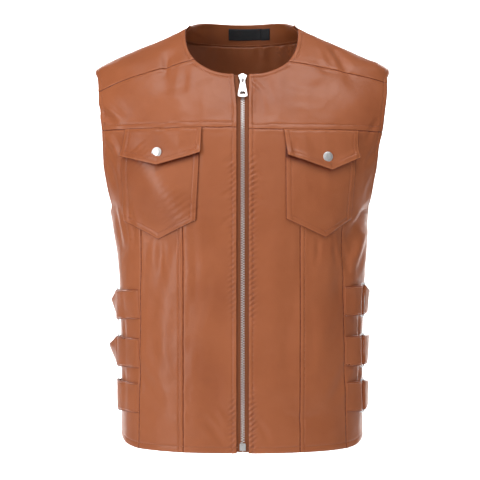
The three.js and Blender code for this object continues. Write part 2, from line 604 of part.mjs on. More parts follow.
for (const side of SIDES) {
  const pocket = pointedPatch(side, side.pocket, side.yokeZ - POCKET_MOUTH_DROP, steps(0, 1, 7));
  const pocketOffset = (place) => POCKET_OFFSET + pocketSwell(side, place);
  add(`pocket_${side.name}`, clothWall([pocket], pocketOffset, THIN), 'leather');
  const flap = pointedPatch(side, side.flap, side.yokeZ - SEAM, [0, 0.28, 0.56, 0.86, 1]);
  const flapOffset = (place) => {
    const lifted = smooth((side.yokeZ - place[1]) / FLAP_LIFT_OVER);
    return lerp(POCKET_OFFSET, FLAP_OFFSET + pocketSwell(side, place), lifted);
  };
  add(`flap_${side.name}`, clothWall([flap], flapOffset, THIN), 'leather');
  const snapPlace = placeFront(side.sign * side.snap.x, side.snap.z);
  add(`snap_${side.name}`, turned(SNAP_PROFILE, 20)
    .applyMatrix4(frameAt(snapPlace, flapOffset(snapPlace) + THIN + 0.6)), 'metal');
}

// The zip: tapes behind the front edges, the teeth between them, the slider and the bottom box
const ZIP = { tapeFoot: TAPE_END, tapeHead: -82.5, teethHalf: 3.3, teethDepth: 2.4,
  tapeUnder: 8, sliderZ: -87.5, sliderHalfHeight: 7, boxTop: -641 };
const ZIP_MIDDLE = -0.6 - CLOTH / 2;
const TAPE_OFFSET = -0.85 - CLOTH;
const teethHead = ZIP.sliderZ - ZIP.sliderHalfHeight - 0.6;
const tapeEdgeX = (z) => ZIP.teethHalf + 0.35 + 3 * clamp01((z - teethHead + 4) / 3)
  + 1.3 * clamp01((ZIP.boxTop + 2 - z) / 2);
for (const side of SIDES) {
  const zs = [ZIP.tapeFoot, ZIP.boxTop, ...steps(ZIP.boxTop + 2.5, teethHead - 4, 20),
    teethHead - 0.5, ZIP.tapeHead];
  const tape = zs.map((z) => steps(tapeEdgeX(z), edgeX(side, z) + ZIP.tapeUnder, 2)
    .map((x) => placeFront(side.sign * x, z)));
  add(`zip_tape_${side.name}`, clothWall([tape], TAPE_OFFSET, CLOTH), 'tape');
}
const teeth = steps(ZIP.boxTop + 0.4, teethHead, 24)
  .map((z) => steps(-ZIP.teethHalf, ZIP.teethHalf, 2).map((x) => placeFront(x, z)));
add('zip_teeth', clothWall([teeth], ZIP_MIDDLE - ZIP.teethDepth / 2, ZIP.teethDepth), 'metal');

const SLIDER_DEPTH = 5;
const sliderFrame = frameAt([0, ZIP.sliderZ], ZIP_MIDDLE);
const sliderBody = plate([[-3.4, -7], [3.4, -7], [4.4, -3.5], [6.2, 2.6], [5.8, 4.6], [3.4, 5.2],
  [1.6, 7.2], [-1.6, 7.2], [-3.4, 5.2], [-5.8, 4.6], [-6.2, 2.6], [-4.4, -3.5]], [], SLIDER_DEPTH)
  .translate(0, 0, -SLIDER_DEPTH / 2);
const bridge = plate([[-6.2, -0.5], [5.2, -0.5], [5, 1], [3.8, 3.7], [-4.8, 3.7], [-6, 1]],
  [[[-3.9, 0.2], [-3.9, 1.6], [-3.3, 2.4], [2.3, 2.4], [2.9, 1.6], [2.9, 0.2]]], 3.4)
  .translate(0, 0, -1.7)
  .applyMatrix4(new THREE.Matrix4().makeBasis(new THREE.Vector3(0, 1, 0),
    new THREE.Vector3(0, 0, 1), new THREE.Vector3(1, 0, 0)))
  .translate(0, 0, SLIDER_DEPTH / 2);
add('zip_slider', joined(sliderBody, bridge).applyMatrix4(sliderFrame), 'metal');

// The pull tab hangs from its top bar, which lies low in the bridge; its origin is the bar's axis
const PULL_AXIS_OVER_FACE = 1.3;
const PULL_AXIS_DOWN = 2.4;      // from the slider's middle
const PULL_THICKNESS = 1.4;
const PULL_LENGTH = 35.5;
const pull = plate([[-3.4, 0.7], [-3.4, -6], [-7.2, 4 - PULL_LENGTH], [-7, 1.8 - PULL_LENGTH],
  [-5.4, 0.6 - PULL_LENGTH], [-2, -PULL_LENGTH], [2, -PULL_LENGTH], [5.4, 0.6 - PULL_LENGTH],
  [7, 1.8 - PULL_LENGTH], [7.2, 4 - PULL_LENGTH], [3.4, -6], [3.4, 0.7]],
  [[[-2.2, -0.7], [2.2, -0.7], [2.5, -6], [1.4, -8.6], [-1.4, -8.6], [-2.5, -6]],
    [[-4.2, -27], [-2.6, -25.4], [2.6, -25.4], [4.2, -27], [4.5, -30.2], [3.6, -31],
      [-3.6, -31], [-4.5, -30.2]]], PULL_THICKNESS)
  .translate(0, 0, -PULL_THICKNESS / 2);
const pullFrame = sliderFrame.clone().multiply(new THREE.Matrix4()
  .makeTranslation(0, -PULL_AXIS_DOWN, SLIDER_DEPTH / 2 + PULL_AXIS_OVER_FACE));
add('zip_pull', pull.applyMatrix4(pullFrame), 'metal');

const boxFrame = frameAt([0, (ZIP.boxTop + TAPE_END) / 2], ZIP_MIDDLE);
add('zip_box', plate([[-4.5, -5.2], [4.5, -5.2], [4.5, 4], [3.4, 5.2], [-3.4, 5.2], [-4.5, 4]],
  [], 4.4).translate(0, 0, -2.2).applyMatrix4(boxFrame), 'metal');

// Side adjusters: a front tab round a ring, and a back strap that is turned back through it. Runs
// are measured round the body from the side line. The strap's tail stands straight off and, with
// lean, more at its upper edge; it droops and grows narrower by a taper.
const RING = { halfWidth: 8, halfHeight: 26.5, bar: 2.2, depth: 1.8, offset: 5.6 };
const STRAP = { halfHeight: 23, thickness: 1.2, turn: 2.9, layer: 2.7, tabUnder: 17,
  tabLift: 26, backRun: 102, spacing: 10 };
const ADJUSTERS = [
  { name: 'right_upper', sign: -1, z: -438, ringRun: -20, seamDrop: -3, stand: 5.6, lean: 0.79,
    droop: 8, taper: 8, tail: 20 },
  { name: 'right_middle', sign: -1, z: -511.5, ringRun: -20, seamDrop: -1, stand: 7.4, lean: 0.9,
    droop: 9.5, taper: 5.5, tail: 21 },
  { name: 'right_lower', sign: -1, z: -580, ringRun: -20, seamDrop: -1, stand: 0.3, lean: 0.5,
    droop: 0, taper: 1, tail: 24 },
  { name: 'left_upper', sign: 1, z: -430, ringRun: -46, seamDrop: 1, stand: 0.6, lean: 1.2,
    droop: 3.5, taper: 6, tail: 26 },
  { name: 'left_middle', sign: 1, z: -508.5, ringRun: -46, seamDrop: -1, stand: 2.7, lean: 0.5,
    droop: 0.5, taper: 1.5, tail: 28 },
  { name: 'left_lower', sign: 1, z: -579, ringRun: -46, seamDrop: -1.5, stand: 1.4, lean: 0.3,
    droop: -1, taper: 4.5, tail: 27 },
];

// Round the side at one height, between turns from the side line and runs of cloth from it
function sideRun(z) {
  const turns = steps(-1.2, 1.35, 204);
  const runs = [0];
  turns.slice(1).forEach((turn, k) => runs.push(runs[k]
    + formPoint(Math.PI / 2 + turn, z).distanceTo(formPoint(Math.PI / 2 + turns[k], z))));
  const table = (from, to, value) => {
    let k = 0;
    while (k < from.length - 2 && value > from[k + 1]) k++;
    return lerp(to[k], to[k + 1], (value - from[k]) / (from[k + 1] - from[k]));
  };
  const zero = table(turns, runs, 0);
  return {
    turnAt: (run) => table(runs, turns, run + zero),
    runAt: (turn) => table(turns, runs, turn) - zero,
  };
}

// A strap that follows a path of runs, offsets and shares of the tail. pathAt gives the path at a
// share of its height, and zAt the height of each of its points.
function strapWall(sign, z, pathAt, zAt, thickness) {
  const { turnAt } = sideRun(z);
  const point = (run, offset, height) =>
    clothPoint([sign * (Math.PI / 2 + turnAt(run)), height], offset);
  const faces = [-0.5, 0.5].map((half) => steps(-1, 1, 2).map((share) => {
    const path = pathAt(share);
    return path.map(([run, offset, tail], k) => {
      const before = path[Math.max(0, k - 1)];
      const after = path[Math.min(path.length - 1, k + 1)];
      const along = new THREE.Vector2(after[0] - before[0], after[1] - before[1]).normalize();
      const shift = half * thickness;
      return point(run - along.y * shift, offset + along.x * shift, zAt(share, run, tail));
    });
  }));
  return wallOf([{ inside: faces[0], outside: faces[1] }]);
}
// The same path with points close enough to lie on the round of the body
const dense = (path) => path.flatMap((point, k) => {
  if (k === 0) return [point];
  const before = path[k - 1];
  const count = Math.max(1, Math.ceil(Math.abs(point[0] - before[0]) / STRAP.spacing));
  return steps(0, 1, count).slice(1).map((t) => before.map((value, i) => lerp(value, point[i], t)));
});
const halfTurn = (run, side) => steps(0, 1, 6).map((t) => [
  run + side * STRAP.turn * Math.sin(Math.PI * t),
  RING.offset + STRAP.turn * Math.cos(Math.PI * t), 0]);
for (const adjuster of ADJUSTERS) {
  const { sign, z, ringRun, stand, lean, droop, taper, tail, seamDrop } = adjuster;
  const { runAt, turnAt } = sideRun(z);
  const barRun = RING.halfWidth - RING.bar / 2;
  const frontBar = ringRun - barRun;
  const seamRun = runAt(Math.abs(placeFront(sideSeamX(z) + 2, z)[0]) - Math.PI / 2);
  const lay = STRAP.layer;
  const tabPath = () => dense([
    [seamRun, lay, 0], [lerp(seamRun, frontBar - STRAP.tabLift, 0.5), lay, 0],
    [frontBar - STRAP.tabLift, lay, 0], [frontBar - 19, 4.7, 0], [frontBar - 11, 6.6, 0],
    [frontBar - 4, 8.2, 0], ...halfTurn(frontBar, 1),
    [frontBar - 8, lay, 0], [frontBar - STRAP.tabUnder, lay, 0],
  ]);
  const tabZ = (share, run) => z + share * STRAP.halfHeight
    - seamDrop * clamp01((frontBar - run) / (frontBar - seamRun));
  add(`tab_${adjuster.name}`, strapWall(sign, z, tabPath, tabZ, STRAP.thickness), 'leather');

  const ringPlace = [sign * (Math.PI / 2 + turnAt(ringRun)), z];
  const box = (w, h, cut) => [[-w + cut, -h], [w - cut, -h], [w, -h + cut], [w, h - cut],
    [w - cut, h], [-w + cut, h], [-w, h - cut], [-w, -h + cut]];
  add(`ring_${adjuster.name}`, plate(box(RING.halfWidth, RING.halfHeight, 2),
    [box(RING.halfWidth - RING.bar, RING.halfHeight - RING.bar, 0.8)], RING.depth)
    .translate(0, 0, -RING.depth / 2).applyMatrix4(frameAt(ringPlace, RING.offset)), 'metal');

  const backBar = ringRun + barRun;
  const strapPath = (share) => {
    const off = RING.offset + STRAP.turn;
    const out = stand * (1 + lean * share);
    return dense([
      [STRAP.backRun, lay, 0], [16, lay, 0], ...halfTurn(backBar, -1).reverse(),
      [backBar + 6, off + 0.22 * out, 0.35], [backBar + 0.6 * tail, off + 0.58 * out, 0.7],
      [backBar + tail, off + out, 1],
    ]);
  };
  const strapZ = (share, run, away) => z - droop * away + share * (STRAP.halfHeight - taper * away);
  add(`strap_${adjuster.name}`, strapWall(sign, z, strapPath, strapZ, STRAP.thickness), 'leather');
}

export default vest;
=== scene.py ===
import math

import bpy
import numpy as np
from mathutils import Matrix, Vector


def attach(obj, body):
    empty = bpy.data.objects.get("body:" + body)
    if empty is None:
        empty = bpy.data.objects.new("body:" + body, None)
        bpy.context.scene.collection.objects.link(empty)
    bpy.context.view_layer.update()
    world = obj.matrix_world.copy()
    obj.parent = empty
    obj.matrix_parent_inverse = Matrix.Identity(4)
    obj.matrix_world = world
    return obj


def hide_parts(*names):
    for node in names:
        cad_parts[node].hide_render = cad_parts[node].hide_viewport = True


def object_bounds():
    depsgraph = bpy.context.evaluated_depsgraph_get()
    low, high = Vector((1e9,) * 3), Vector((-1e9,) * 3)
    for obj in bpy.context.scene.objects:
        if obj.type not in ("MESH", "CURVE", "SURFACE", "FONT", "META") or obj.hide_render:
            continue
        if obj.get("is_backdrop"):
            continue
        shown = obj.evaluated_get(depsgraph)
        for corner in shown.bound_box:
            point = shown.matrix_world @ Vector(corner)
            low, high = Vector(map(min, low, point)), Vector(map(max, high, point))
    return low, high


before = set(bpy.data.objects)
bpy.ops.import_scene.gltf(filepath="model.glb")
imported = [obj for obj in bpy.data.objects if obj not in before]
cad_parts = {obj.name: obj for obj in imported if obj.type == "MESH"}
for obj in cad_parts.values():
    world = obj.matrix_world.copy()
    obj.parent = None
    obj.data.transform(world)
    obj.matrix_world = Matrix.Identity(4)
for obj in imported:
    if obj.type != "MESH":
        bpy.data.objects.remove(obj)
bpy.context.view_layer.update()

# A collarless leather vest, filled out as when worn. Lengths here are in millimetres and become
# metres in each mesh. +Z is up, the front faces -Y and +X is the wearer's left.

MM = 0.001
NECK_HALF_WIDTH = 88
NECK_DROP = 82
NECK_ROUNDNESS = 2.6
BACK_NECK_RISE = 21
BACK_NECK_FLATNESS = 6
ARMHOLE_TOP = -64
ARMHOLE_BOTTOM = -290
ARMHOLE_FRONT = 60
ARMHOLE_BACK = 62
ARMHOLE_POINTEDNESS_FRONT = 1.5
ARMHOLE_POINTEDNESS_BACK = 1.25
ARMHOLE_ROUNDNESS = 0.85
HEM_FRONT = -656
HEM_SIDE_RISE = 10
HEM_BACK_DROP = 4
LEATHER = 1.5
THIN = 1.2
CLOTH = 1.0
SEAM = 0.08
ZIP_GAP = 8.7
SIDE_SEAM_DEG = 88
TAPE_END = -654.3
SEED = 7

# Spacing of the points, rows of stitches and the layers' distances from the form
PITCH = 2.8
FRONT_ROW_PITCH = 2.1
BACK_PITCH = 3.8
STITCH_GAP = 6.6
HEM_ROW_RISE = 9.0
YOKE_ROW_RISE = 8.2
STITCH_LAY = LEATHER - 0.42
POCKET_LOW = LEATHER + 0.7
FLAP_LOW = POCKET_LOW + THIN + 0.7
POCKET_MOUTH_DROP = 11
POCKET_SWELL = 3.2
FLAP_EDGE_LIFT = 4.2
FLAP_SHADE = (0.75, 0.35)
FLAP_SHADE_REACH = 3.6
POCKET_ROWS = (2.2, 8.2)
FLAP_ROWS = (2.2, 8.0)
PATCH_MARGIN = 9
THREAD_SINK = 0.4
FACING_FOOT = (-13, -9)
GATHER_LIFT = 2.0
LINING_WAVE = 2.0
LINING_CEILING = 0.75
RIDGE_INSET = 0.02
FACING_LOW = -2 - THIN
LINING_LOW = -2.9 - CLOTH
LABEL_LOW = FACING_LOW - 0.5 - 0.8
STITCH_PITCH = 3.4
STITCH_LENGTH = 2.5
STITCH_HALF_WIDTH = 0.42
STITCH_SIDES = 5

# The zip
ZIP_MIDDLE = -0.6 - CLOTH / 2
TAPE_LOW = -0.85 - CLOTH
TAPE_HEAD = -82.5
TAPE_UNDER = 8
BOX_TOP = -641
TEETH_TOP = -95.1
TEETH_HALF = 3.3
TOOTH_PITCH = 1.85
TOOTH = (3.3, 1.5, 2.3)        # across, along and through
TOOTH_SHIFT = 1.4

# Worked edges and rows of stitches: depths, heights and widths
ROLL_DEPTH = 0.75
ROLL_WIDTH = 0.8
MARGIN_LIFT = 0.24
MARGIN_UNEVEN = 0.30
GROOVE_DEPTH = 0.45
PUFF_LIFT = 0.16
PUCKER_PITCH = 8.2
PUCKER_SLANT = 0.7
PUCKER_REACH = 4.2

# Painted light and shade in the leather's colour at each point: painted shade in a seam and along a
# row of stitches, a painted highlight along an edge
SHADE = "shade"
SHADE_TINT = np.array([0.8, 1.2, 1.35])
SEAM_SHADE = 0.82
ROW_SHADE = 0.10

# How far a fold or crease reaches beyond its width, and the dips beside a crease
SIDE_FADE = 30
FOLD_END = 1.4
CREASE_REACH = 3.2
CREASE_STEPS = 17
DIP_DEPTH = 0.35
DIP_PLACE = 1.7
DIP_WIDTH = 0.8
CREASE_DEPTH = 1.15
ZIP_RIDGE = 3.2
ZIP_RIDGE_REACH = 42

# The camera, and the light from all round
SENSOR_WIDTH = 36
FOCAL_PIXELS = 1125
PICTURE_PIXELS = 480
CAMERA_PLACE = (-0.004, -1.8, -0.337)
WORLD_STRENGTH = 0.20

# The cloth's uneven swellings: height, squash up the body, size, and whether they meet in a line
SWELLINGS = [
    (1.2, 0.55, 46, False),
    (0.45, 0.7, 19, False),
    (0.1, 1, 8, False),
    (-1.1, 0.6, 38, True),
    (-0.4, 0.8, 17, True),
]

# z, half width, front depth, back depth, front exponent, back exponent
SECTIONS = np.array([
    [-664, 190.3, 120.5, 112, 2.35, 2.2],
    [-628, 190.5, 119.5, 110, 2.35, 2.2],
    [-551, 191.5, 117.5, 105, 2.35, 2.2],
    [-473, 192.3, 117, 103, 2.3, 2.2],
    [-407, 193.8, 118, 105, 2.3, 2.2],
    [-340, 200, 121, 111, 2.3, 2.2],
    [-290, 203.5, 123.5, 118, 2.3, 2.2],
    [-247, 217, 123, 125, 2.3, 2.2],
    [-201, 235, 117, 128, 2.3, 2.15],
    [-173, 246, 109, 127, 2.3, 2.1],
    [-148, 254, 99, 124, 2.3, 2.1],
    [-124, 256, 88.5, 120, 2.3, 2.1],
    [-105, 251, 79, 116, 2.3, 2.05],
    [-82, 239, 66.5, 111, 2.3, 2],
    [-64, 230, 56, 106, 2.3, 1.95],
    [-41, 180, 43, 99, 2.25, 1.85],
    [-24, 140, 32, 93, 2.2, 1.8],
    [-12, 113, 24, 88.5, 2.2, 1.85],
    [0, 88, 15, 84, 2.2, 2],
    [12, 80, 10, 78, 2.2, 2.15],
    [26, 74, 8, 73, 2.2, 2.2],
], dtype=float)

SIDES = [
    dict(name="right", sign=-1, yoke_z=-168, seam_neck_z=-57, seam_arm_z=-106, flare=4.5,
         princess_x=88.8, snap=(126, -206.5),
         pocket=dict(inner=64, outer=178, lean_inner=4.5, lean_outer=-1, corner_inner_z=-307,
                     corner_outer_z=-307, point_x=127, point_z=-336),
         flap=dict(inner=61.2, outer=177.5, lean_inner=1.3, lean_outer=1.5, corner_inner_z=-207,
                   corner_outer_z=-210, point_x=124, point_z=-225.7)),
    dict(name="left", sign=1, yoke_z=-170.5, seam_neck_z=-60, seam_arm_z=-92, flare=0.6,
         princess_x=86, snap=(126, -212.5),
         pocket=dict(inner=64, outer=172.5, lean_inner=0, lean_outer=-6, corner_inner_z=-305,
                     corner_outer_z=-304.5, point_x=124, point_z=-333),
         flap=dict(inner=61.2, outer=175.6, lean_inner=5.2, lean_outer=0, corner_inner_z=-211,
                   corner_outer_z=-212.2, point_x=130.5, point_z=-232.3)),
]

# Where one side stands out more or less than the other: sign, z, spread, from, over, out
SWAYS = [
    (-1, -240, 50, 110, 100, 7),
    (1, -300, 45, 120, 80, -3),
    (1, -470, 130, 120, 80, -2),
    (1, -195, 24, 120, 80, -2.5),
    (-1, -20, 50, 20, 60, 2.5),
    (-1, -303, 40, 120, 80, 4),
]

# The largest folds, as in the solids: x and z of both ends, half width and height
FOLDS = [
    (-203, -287, -186, -345, 13, -4),
    (-176, -262, -170, -420, 17, 2.5),
    (-118, -345, -126, -392, 14, -3),
    (-106, -370, -112, -600, 24, 2.5),
    (-70, -330, -66, -560, 22, 2),
    (-112, -52, -118, -84, 14, -2.5),
    (-48, -560, -30, -640, 20, -2.5),
    (190, -296, 170, -332, 12, -3.5),
    (184, -330, 168, -400, 13, 3),
    (160, -335, 150, -410, 15, -3),
    (128, -380, 116, -560, 26, 2.5),
    (55, -320, 48, -480, 24, 2),
    (148, -40, 166, -78, 14, -3),
    (34, -96, 28, -150, 12, -2),
    (60, -590, 105, -600, 18, -2),
]


# The adjusters' rings and straps
RING = dict(half_width=8, bar=2.2, offset=5.6)
STRAP = dict(half_height=23, thickness=1.2, turn=2.9, layer=2.7, tab_under=17, tab_lift=26,
             back_run=102, pitch=1.7)

# Each adjuster: name, sign, z, ring's run, seam drop, stand, lean, droop, taper, tail
ADJUSTERS = [
    ("right_upper", -1, -438, -20, -3, 5.6, 0.79, 8, 8, 20),
    ("right_middle", -1, -511.5, -20, -1, 7.4, 0.9, 9.5, 5.5, 21),
    ("right_lower", -1, -580, -20, -1, 0.3, 0.5, 0, 1, 24),
    ("left_upper", 1, -430, -46, 1, 0.6, 1.2, 3.5, 6, 26),
    ("left_middle", 1, -508.5, -46, -1, 2.7, 0.5, 0.5, 1.5, 28),
    ("left_lower", 1, -579, -46, -1.5, 1.4, 0.3, -1, 4.5, 27),
]

# Finer creases on the front: x and z of the start, middle and end, half width and height
FRONT_CREASES = [
    (-166, -204, -126, -244, -84, -306, 32, 7.0),
    (-78, -505, -74, -524, -78, -545, 8, 1.0),
    (-96, -612, -76, -622, -58, -618, 9, 1.1),
    (120, -178, 124, -192, 131, -206, 8, 0.8),
    (98, -182, 103, -194, 112, -204, 6, -0.7),
    (78, -190, 76, -203, 80, -214, 4, -0.8),
    (181, -455, 183, -470, 180, -488, 2.6, -1.9),
    (181, -534, 183, -545, 180, -557, 2.6, -1.9),
    (-183, -462, -184, -476, -181, -492, 2.6, -1.2),
    (-183, -538, -184, -548, -181, -560, 2.6, -1.2),
    (-52, -120, -58, -150, -54, -190, 10, 0.7),
    (46, -330, 40, -380, 46, -430, 11, 0.8),
    (-40, -400, -46, -450, -42, -500, 11, 0.8),
    (70, -440, 62, -500, 68, -560, 11, -0.8),
    (-204, -284, -197, -305, -189, -338, 4.5, -1.2),
    (-196, -292, -188, -315, -182, -345, 4, 1.4),
    (-182, -300, -177, -318, -175, -338, 3.5, -1.0),
    (-176, -240, -172, -285, -169, -335, 5, -1.6),
    (-166, -300, -163, -330, -166, -362, 4.5, -1.2),
    (-186, -215, -184, -250, -183, -280, 4, -1.2),
    (-126, -340, -123, -360, -125, -385, 5.5, -0.9),
    (-110, -338, -113, -355, -111, -378, 5, -0.8),
    (-100, -330, -104, -350, -103, -368, 4.5, -0.6),
    (-140, -336, -146, -355, -146, -380, 5, -0.6),
    (-82, -320, -80, -370, -81, -425, 6, 1.2),
    (-156, -528, -143, -556, -126, -589, 11, -1.2),
    (-150, -505, -136, -540, -118, -566, 11, 0.8),
    (-118, -440, -121, -490, -117, -540, 9, 1.0),
    (-221, -135, -212, -144, -198, -156, 5, -2.4),
    (-218, -120, -206, -133, -186, -150, 6, 2.0),
    (-212, -178, -198, -184, -190, -208, 5, 2.2),
    (-208, -214, -200, -232, -196, -252, 4.5, -1.3),
    (-120, -50, -117, -63, -120, -80, 5, -1.3),
    (-90, -70, -88, -92, -94, -115, 7, -0.9),
    (-60, -604, -44, -618, -30, -642, 6, -1.4),
    (-40, -590, -30, -600, -22, -622, 5, 0.8),
    (198, -284, 186, -298, 172, -316, 4.5, -1.2),
    (193, -300, 182, -316, 172, -334, 4.5, 1.0),
    (192, -318, 178, -345, 164, -382, 6, 1.8),
    (196, -336, 186, -360, 177, -386, 4.5, -1.2),
    (150, -326, 150, -358, 163, -386, 5, -2.0),
    (140, -332, 138, -352, 142, -376, 4.5, -1.0),
    (112, -334, 114, -352, 110, -372, 4, -1.2),
    (84, -316, 86, -350, 84, -392, 5, -1.0),
    (141, -32, 152, -48, 161, -70, 5.5, -1.5),
    (128, -38, 134, -52, 140, -66, 5, -0.8),
    (14, -92, 22, -99, 34, -110, 4, -1.1),
    (17, -112, 20, -126, 20, -146, 4.5, -1.2),
    (30, -100, 38, -118, 40, -140, 6, 0.9),
    (16, -196, 22, -204, 32, -210, 4, -0.8),
    (15, -232, 22, -240, 30, -243, 3.5, -0.7),
    (15, -268, 21, -275, 32, -280, 4, -0.7),
    (-15, -212, -21, -220, -30, -224, 4, -0.7),
    (-15, -262, -22, -268, -32, -272, 4, -0.7),
    (-15, -300, -22, -308, -30, -311, 4, -0.6),
    (208, -150, 199, -165, 190, -182, 4.5, -1.2),
    (206, -196, 197, -206, 188, -222, 4.5, -1.1),
    (200, -240, 194, -256, 190, -272, 4, -1.0),
    (110, -60, 124, -72, 146, -78, 7, -0.9),
    (60, -92, 96, -104, 130, -102, 9, -0.8),
    (-60, -92, -90, -104, -128, -108, 9, -0.8),
    (100, -430, 108, -470, 104, -520, 9, -1.0),
    (160, -520, 150, -556, 136, -580, 8, -1.3),
    (62, -600, 84, -608, 108, -604, 7, -1.3),
    (24, -610, 34, -622, 40, -640, 5, -1.1),
]

# The same on the back, which the photograph doesn't show
BACK_CREASES = [
    (-196, -292, -176, -310, -150, -318, 6, -1.8),
    (-192, -310, -168, -330, -140, -338, 7, 1.4),
    (190, -296, 168, -316, 142, -322, 6, -1.8),
    (188, -318, 164, -338, 136, -350, 7, 1.4),
    (-150, -430, -90, -446, -30, -440, 12, -2.0),
    (160, -452, 100, -462, 40, -470, 12, -1.8),
    (-120, -470, -60, -492, 10, -488, 13, 1.6),
    (120, -412, 60, -424, -10, -420, 12, 1.4),
    (-70, -80, -66, -150, -74, -240, 14, -1.6),
    (76, -90, 70, -160, 78, -250, 14, -1.6),
    (-20, -520, -26, -590, -18, -650, 14, -1.8),
    (50, -530, 46, -590, 56, -650, 13, 1.6),
    (-90, -540, -98, -600, -92, -650, 13, 1.4),
    (120, -540, 128, -600, 124, -650, 13, -1.6),
    (-130, -40, -140, -70, -150, -110, 8, -1.4),
    (132, -44, 144, -74, 150, -112, 8, -1.4),
    (-30, -10, -24, -40, -30, -80, 10, -0.9),
    (34, -10, 30, -44, 32, -84, 10, -0.9),
]


def lerp(a, b, t):
    return a + (b - a) * t


def smooth(t):
    t = np.clip(t, 0.0, 1.0)
    return t * t * (3 - 2 * t)


def column(key):
    zs = SECTIONS[:, 0]
    values = SECTIONS[:, key]
    slopes = np.empty_like(values)
    slopes[1:-1] = (values[2:] - values[:-2]) / (zs[2:] - zs[:-2])
    slopes[0] = (values[1] - values[0]) / (zs[1] - zs[0])
    slopes[-1] = (values[-1] - values[-2]) / (zs[-1] - zs[-2])

    def at(z):
        z = np.asarray(z, dtype=float)
        i = np.clip(np.searchsorted(zs, z, side="left") - 1, 0, len(zs) - 2)
        span = zs[i + 1] - zs[i]
        t = (z - zs[i]) / span
        t2, t3 = t * t, t * t * t
        return ((2 * t3 - 3 * t2 + 1) * values[i] + (t3 - 2 * t2 + t) * span * slopes[i]
                + (3 * t2 - 2 * t3) * values[i + 1] + (t3 - t2) * span * slopes[i + 1])
    return at


half_width = column(1)
front_depth = column(2)
back_depth = column(3)
front_square = column(4)
back_square = column(5)


# A place is an angle round the body and a height, the last axis of an array
def places(angle, z):
    return np.stack(np.broadcast_arrays(np.asarray(angle, float), np.asarray(z, float)), axis=-1)


def even_form(place):
    angle, z = place[..., 0], place[..., 1]
    s, c = np.sin(angle), np.cos(angle)
    n = np.where(c >= 0, front_square(z), back_square(z))
    depth = np.where(c >= 0, front_depth(z), back_depth(z))
    reach = (np.abs(s) ** n + np.abs(c) ** n) ** (-1 / n)
    return np.stack([half_width(z) * reach * s, -depth * reach * c, z], axis=-1)


def form(place):
    p = even_form(place)
    across, sign = np.abs(p[..., 0]), np.sign(p[..., 0])
    shift = np.zeros(across.shape)
    for side_sign, z, spread, start, over, out in SWAYS:
        fade = np.exp(-((p[..., 2] - z) / spread) ** 2) * smooth((across - start) / over)
        shift += np.where(sign == side_sign, out * fade, 0)
    p[..., 0] += sign * shift
    return p


def unit(v):
    return v / np.maximum(np.linalg.norm(v, axis=-1, keepdims=True), 1e-12)


def form_normal(place):
    turn = np.array([0.004, 0.0])
    lift = np.array([0.0, 0.8])
    round_ = form(place + turn) - form(place - turn)
    up = form(place + lift) - form(place - lift)
    return unit(np.cross(round_, up))


# Smooth noise from -1 to 1, the same on each run
def lattice(i, j, k, seed):
    n = (i * 73856093) ^ (j * 19349663) ^ (k * 83492791) ^ (seed * 2654435761)
    n = (n ^ (n >> 13)) * 1274126177
    n = n ^ (n >> 16)
    return (n & 0xFFFF) / 32767.5 - 1.0


def noise(points, scale, seed):
    q = points / scale
    base = np.floor(q).astype(np.int64)
    f = q - base
    f = f * f * (3 - 2 * f)
    total = 0.0
    for dx in (0, 1):
        for dy in (0, 1):
            for dz in (0, 1):
                weight = ((f[..., 0] if dx else 1 - f[..., 0])
                          * (f[..., 1] if dy else 1 - f[..., 1])
                          * (f[..., 2] if dz else 1 - f[..., 2]))
                total = total + weight * lattice(base[..., 0] + dx, base[..., 1] + dy,
                                                 base[..., 2] + dz, SEED + seed)
    return total


def large_folds(p):
    total = np.zeros(p.shape[:-1])
    for x1, z1, x2, z2, width, height in FOLDS:
        dx, dz = x2 - x1, z2 - z1
        length = math.hypot(dx, dz)
        along = ((p[..., 0] - x1) * dx + (p[..., 2] - z1) * dz) / length
        across = ((p[..., 0] - x1) * dz - (p[..., 2] - z1) * dx) / length
        beyond = np.maximum(0, np.maximum(-along, along - length))
        fade = np.exp(-(beyond / (FOLD_END * width)) ** 2)
        total += height * np.exp(-(across / width) ** 2) * fade
    return total * smooth(-p[..., 1] / SIDE_FADE)


def creases(p, table, front):
    total = np.zeros(p.shape[:-1])
    flat = p[..., [0, 2]]
    for x1, z1, x2, z2, x3, z3, width, height in table:
        reach = CREASE_REACH * width
        near = ((flat[..., 0] > min(x1, x2, x3) - reach) & (flat[..., 0] < max(x1, x2, x3) + reach)
                & (flat[..., 1] > min(z1, z2, z3) - reach)
                & (flat[..., 1] < max(z1, z2, z3) + reach))
        near &= (p[..., 1] < 10) if front else (p[..., 1] > -10)
        if not near.any():
            continue
        q = flat[near]
        t = np.linspace(0, 1, CREASE_STEPS)[:, None]
        line = ((1 - t) ** 2 * np.array([x1, z1]) + 2 * t * (1 - t) * np.array([x2, z2])
                + t * t * np.array([x3, z3]))
        gap = np.linalg.norm(q[:, None, :] - line[None], axis=-1)
        best = gap.argmin(axis=1)
        distance = gap[np.arange(len(q)), best] / width
        fade = np.sin(np.pi * np.clip((best + 1.5) / (CREASE_STEPS + 2), 0, 1)) ** 0.7
        dip = np.exp(-((distance - DIP_PLACE) / DIP_WIDTH) ** 2)
        profile = np.exp(-distance ** 2) - DIP_DEPTH * dip
        total[near] += CREASE_DEPTH * height * fade * profile
    return total


# The closed fronts meet in a slight ridge along the zip
def zip_ridge(p):
    ends = smooth((-110 - p[..., 2]) / 70) * smooth((p[..., 2] + 632) / 60)
    return ZIP_RIDGE * ends * np.exp(-np.abs(p[..., 0]) / ZIP_RIDGE_REACH) * (p[..., 1] < 0)


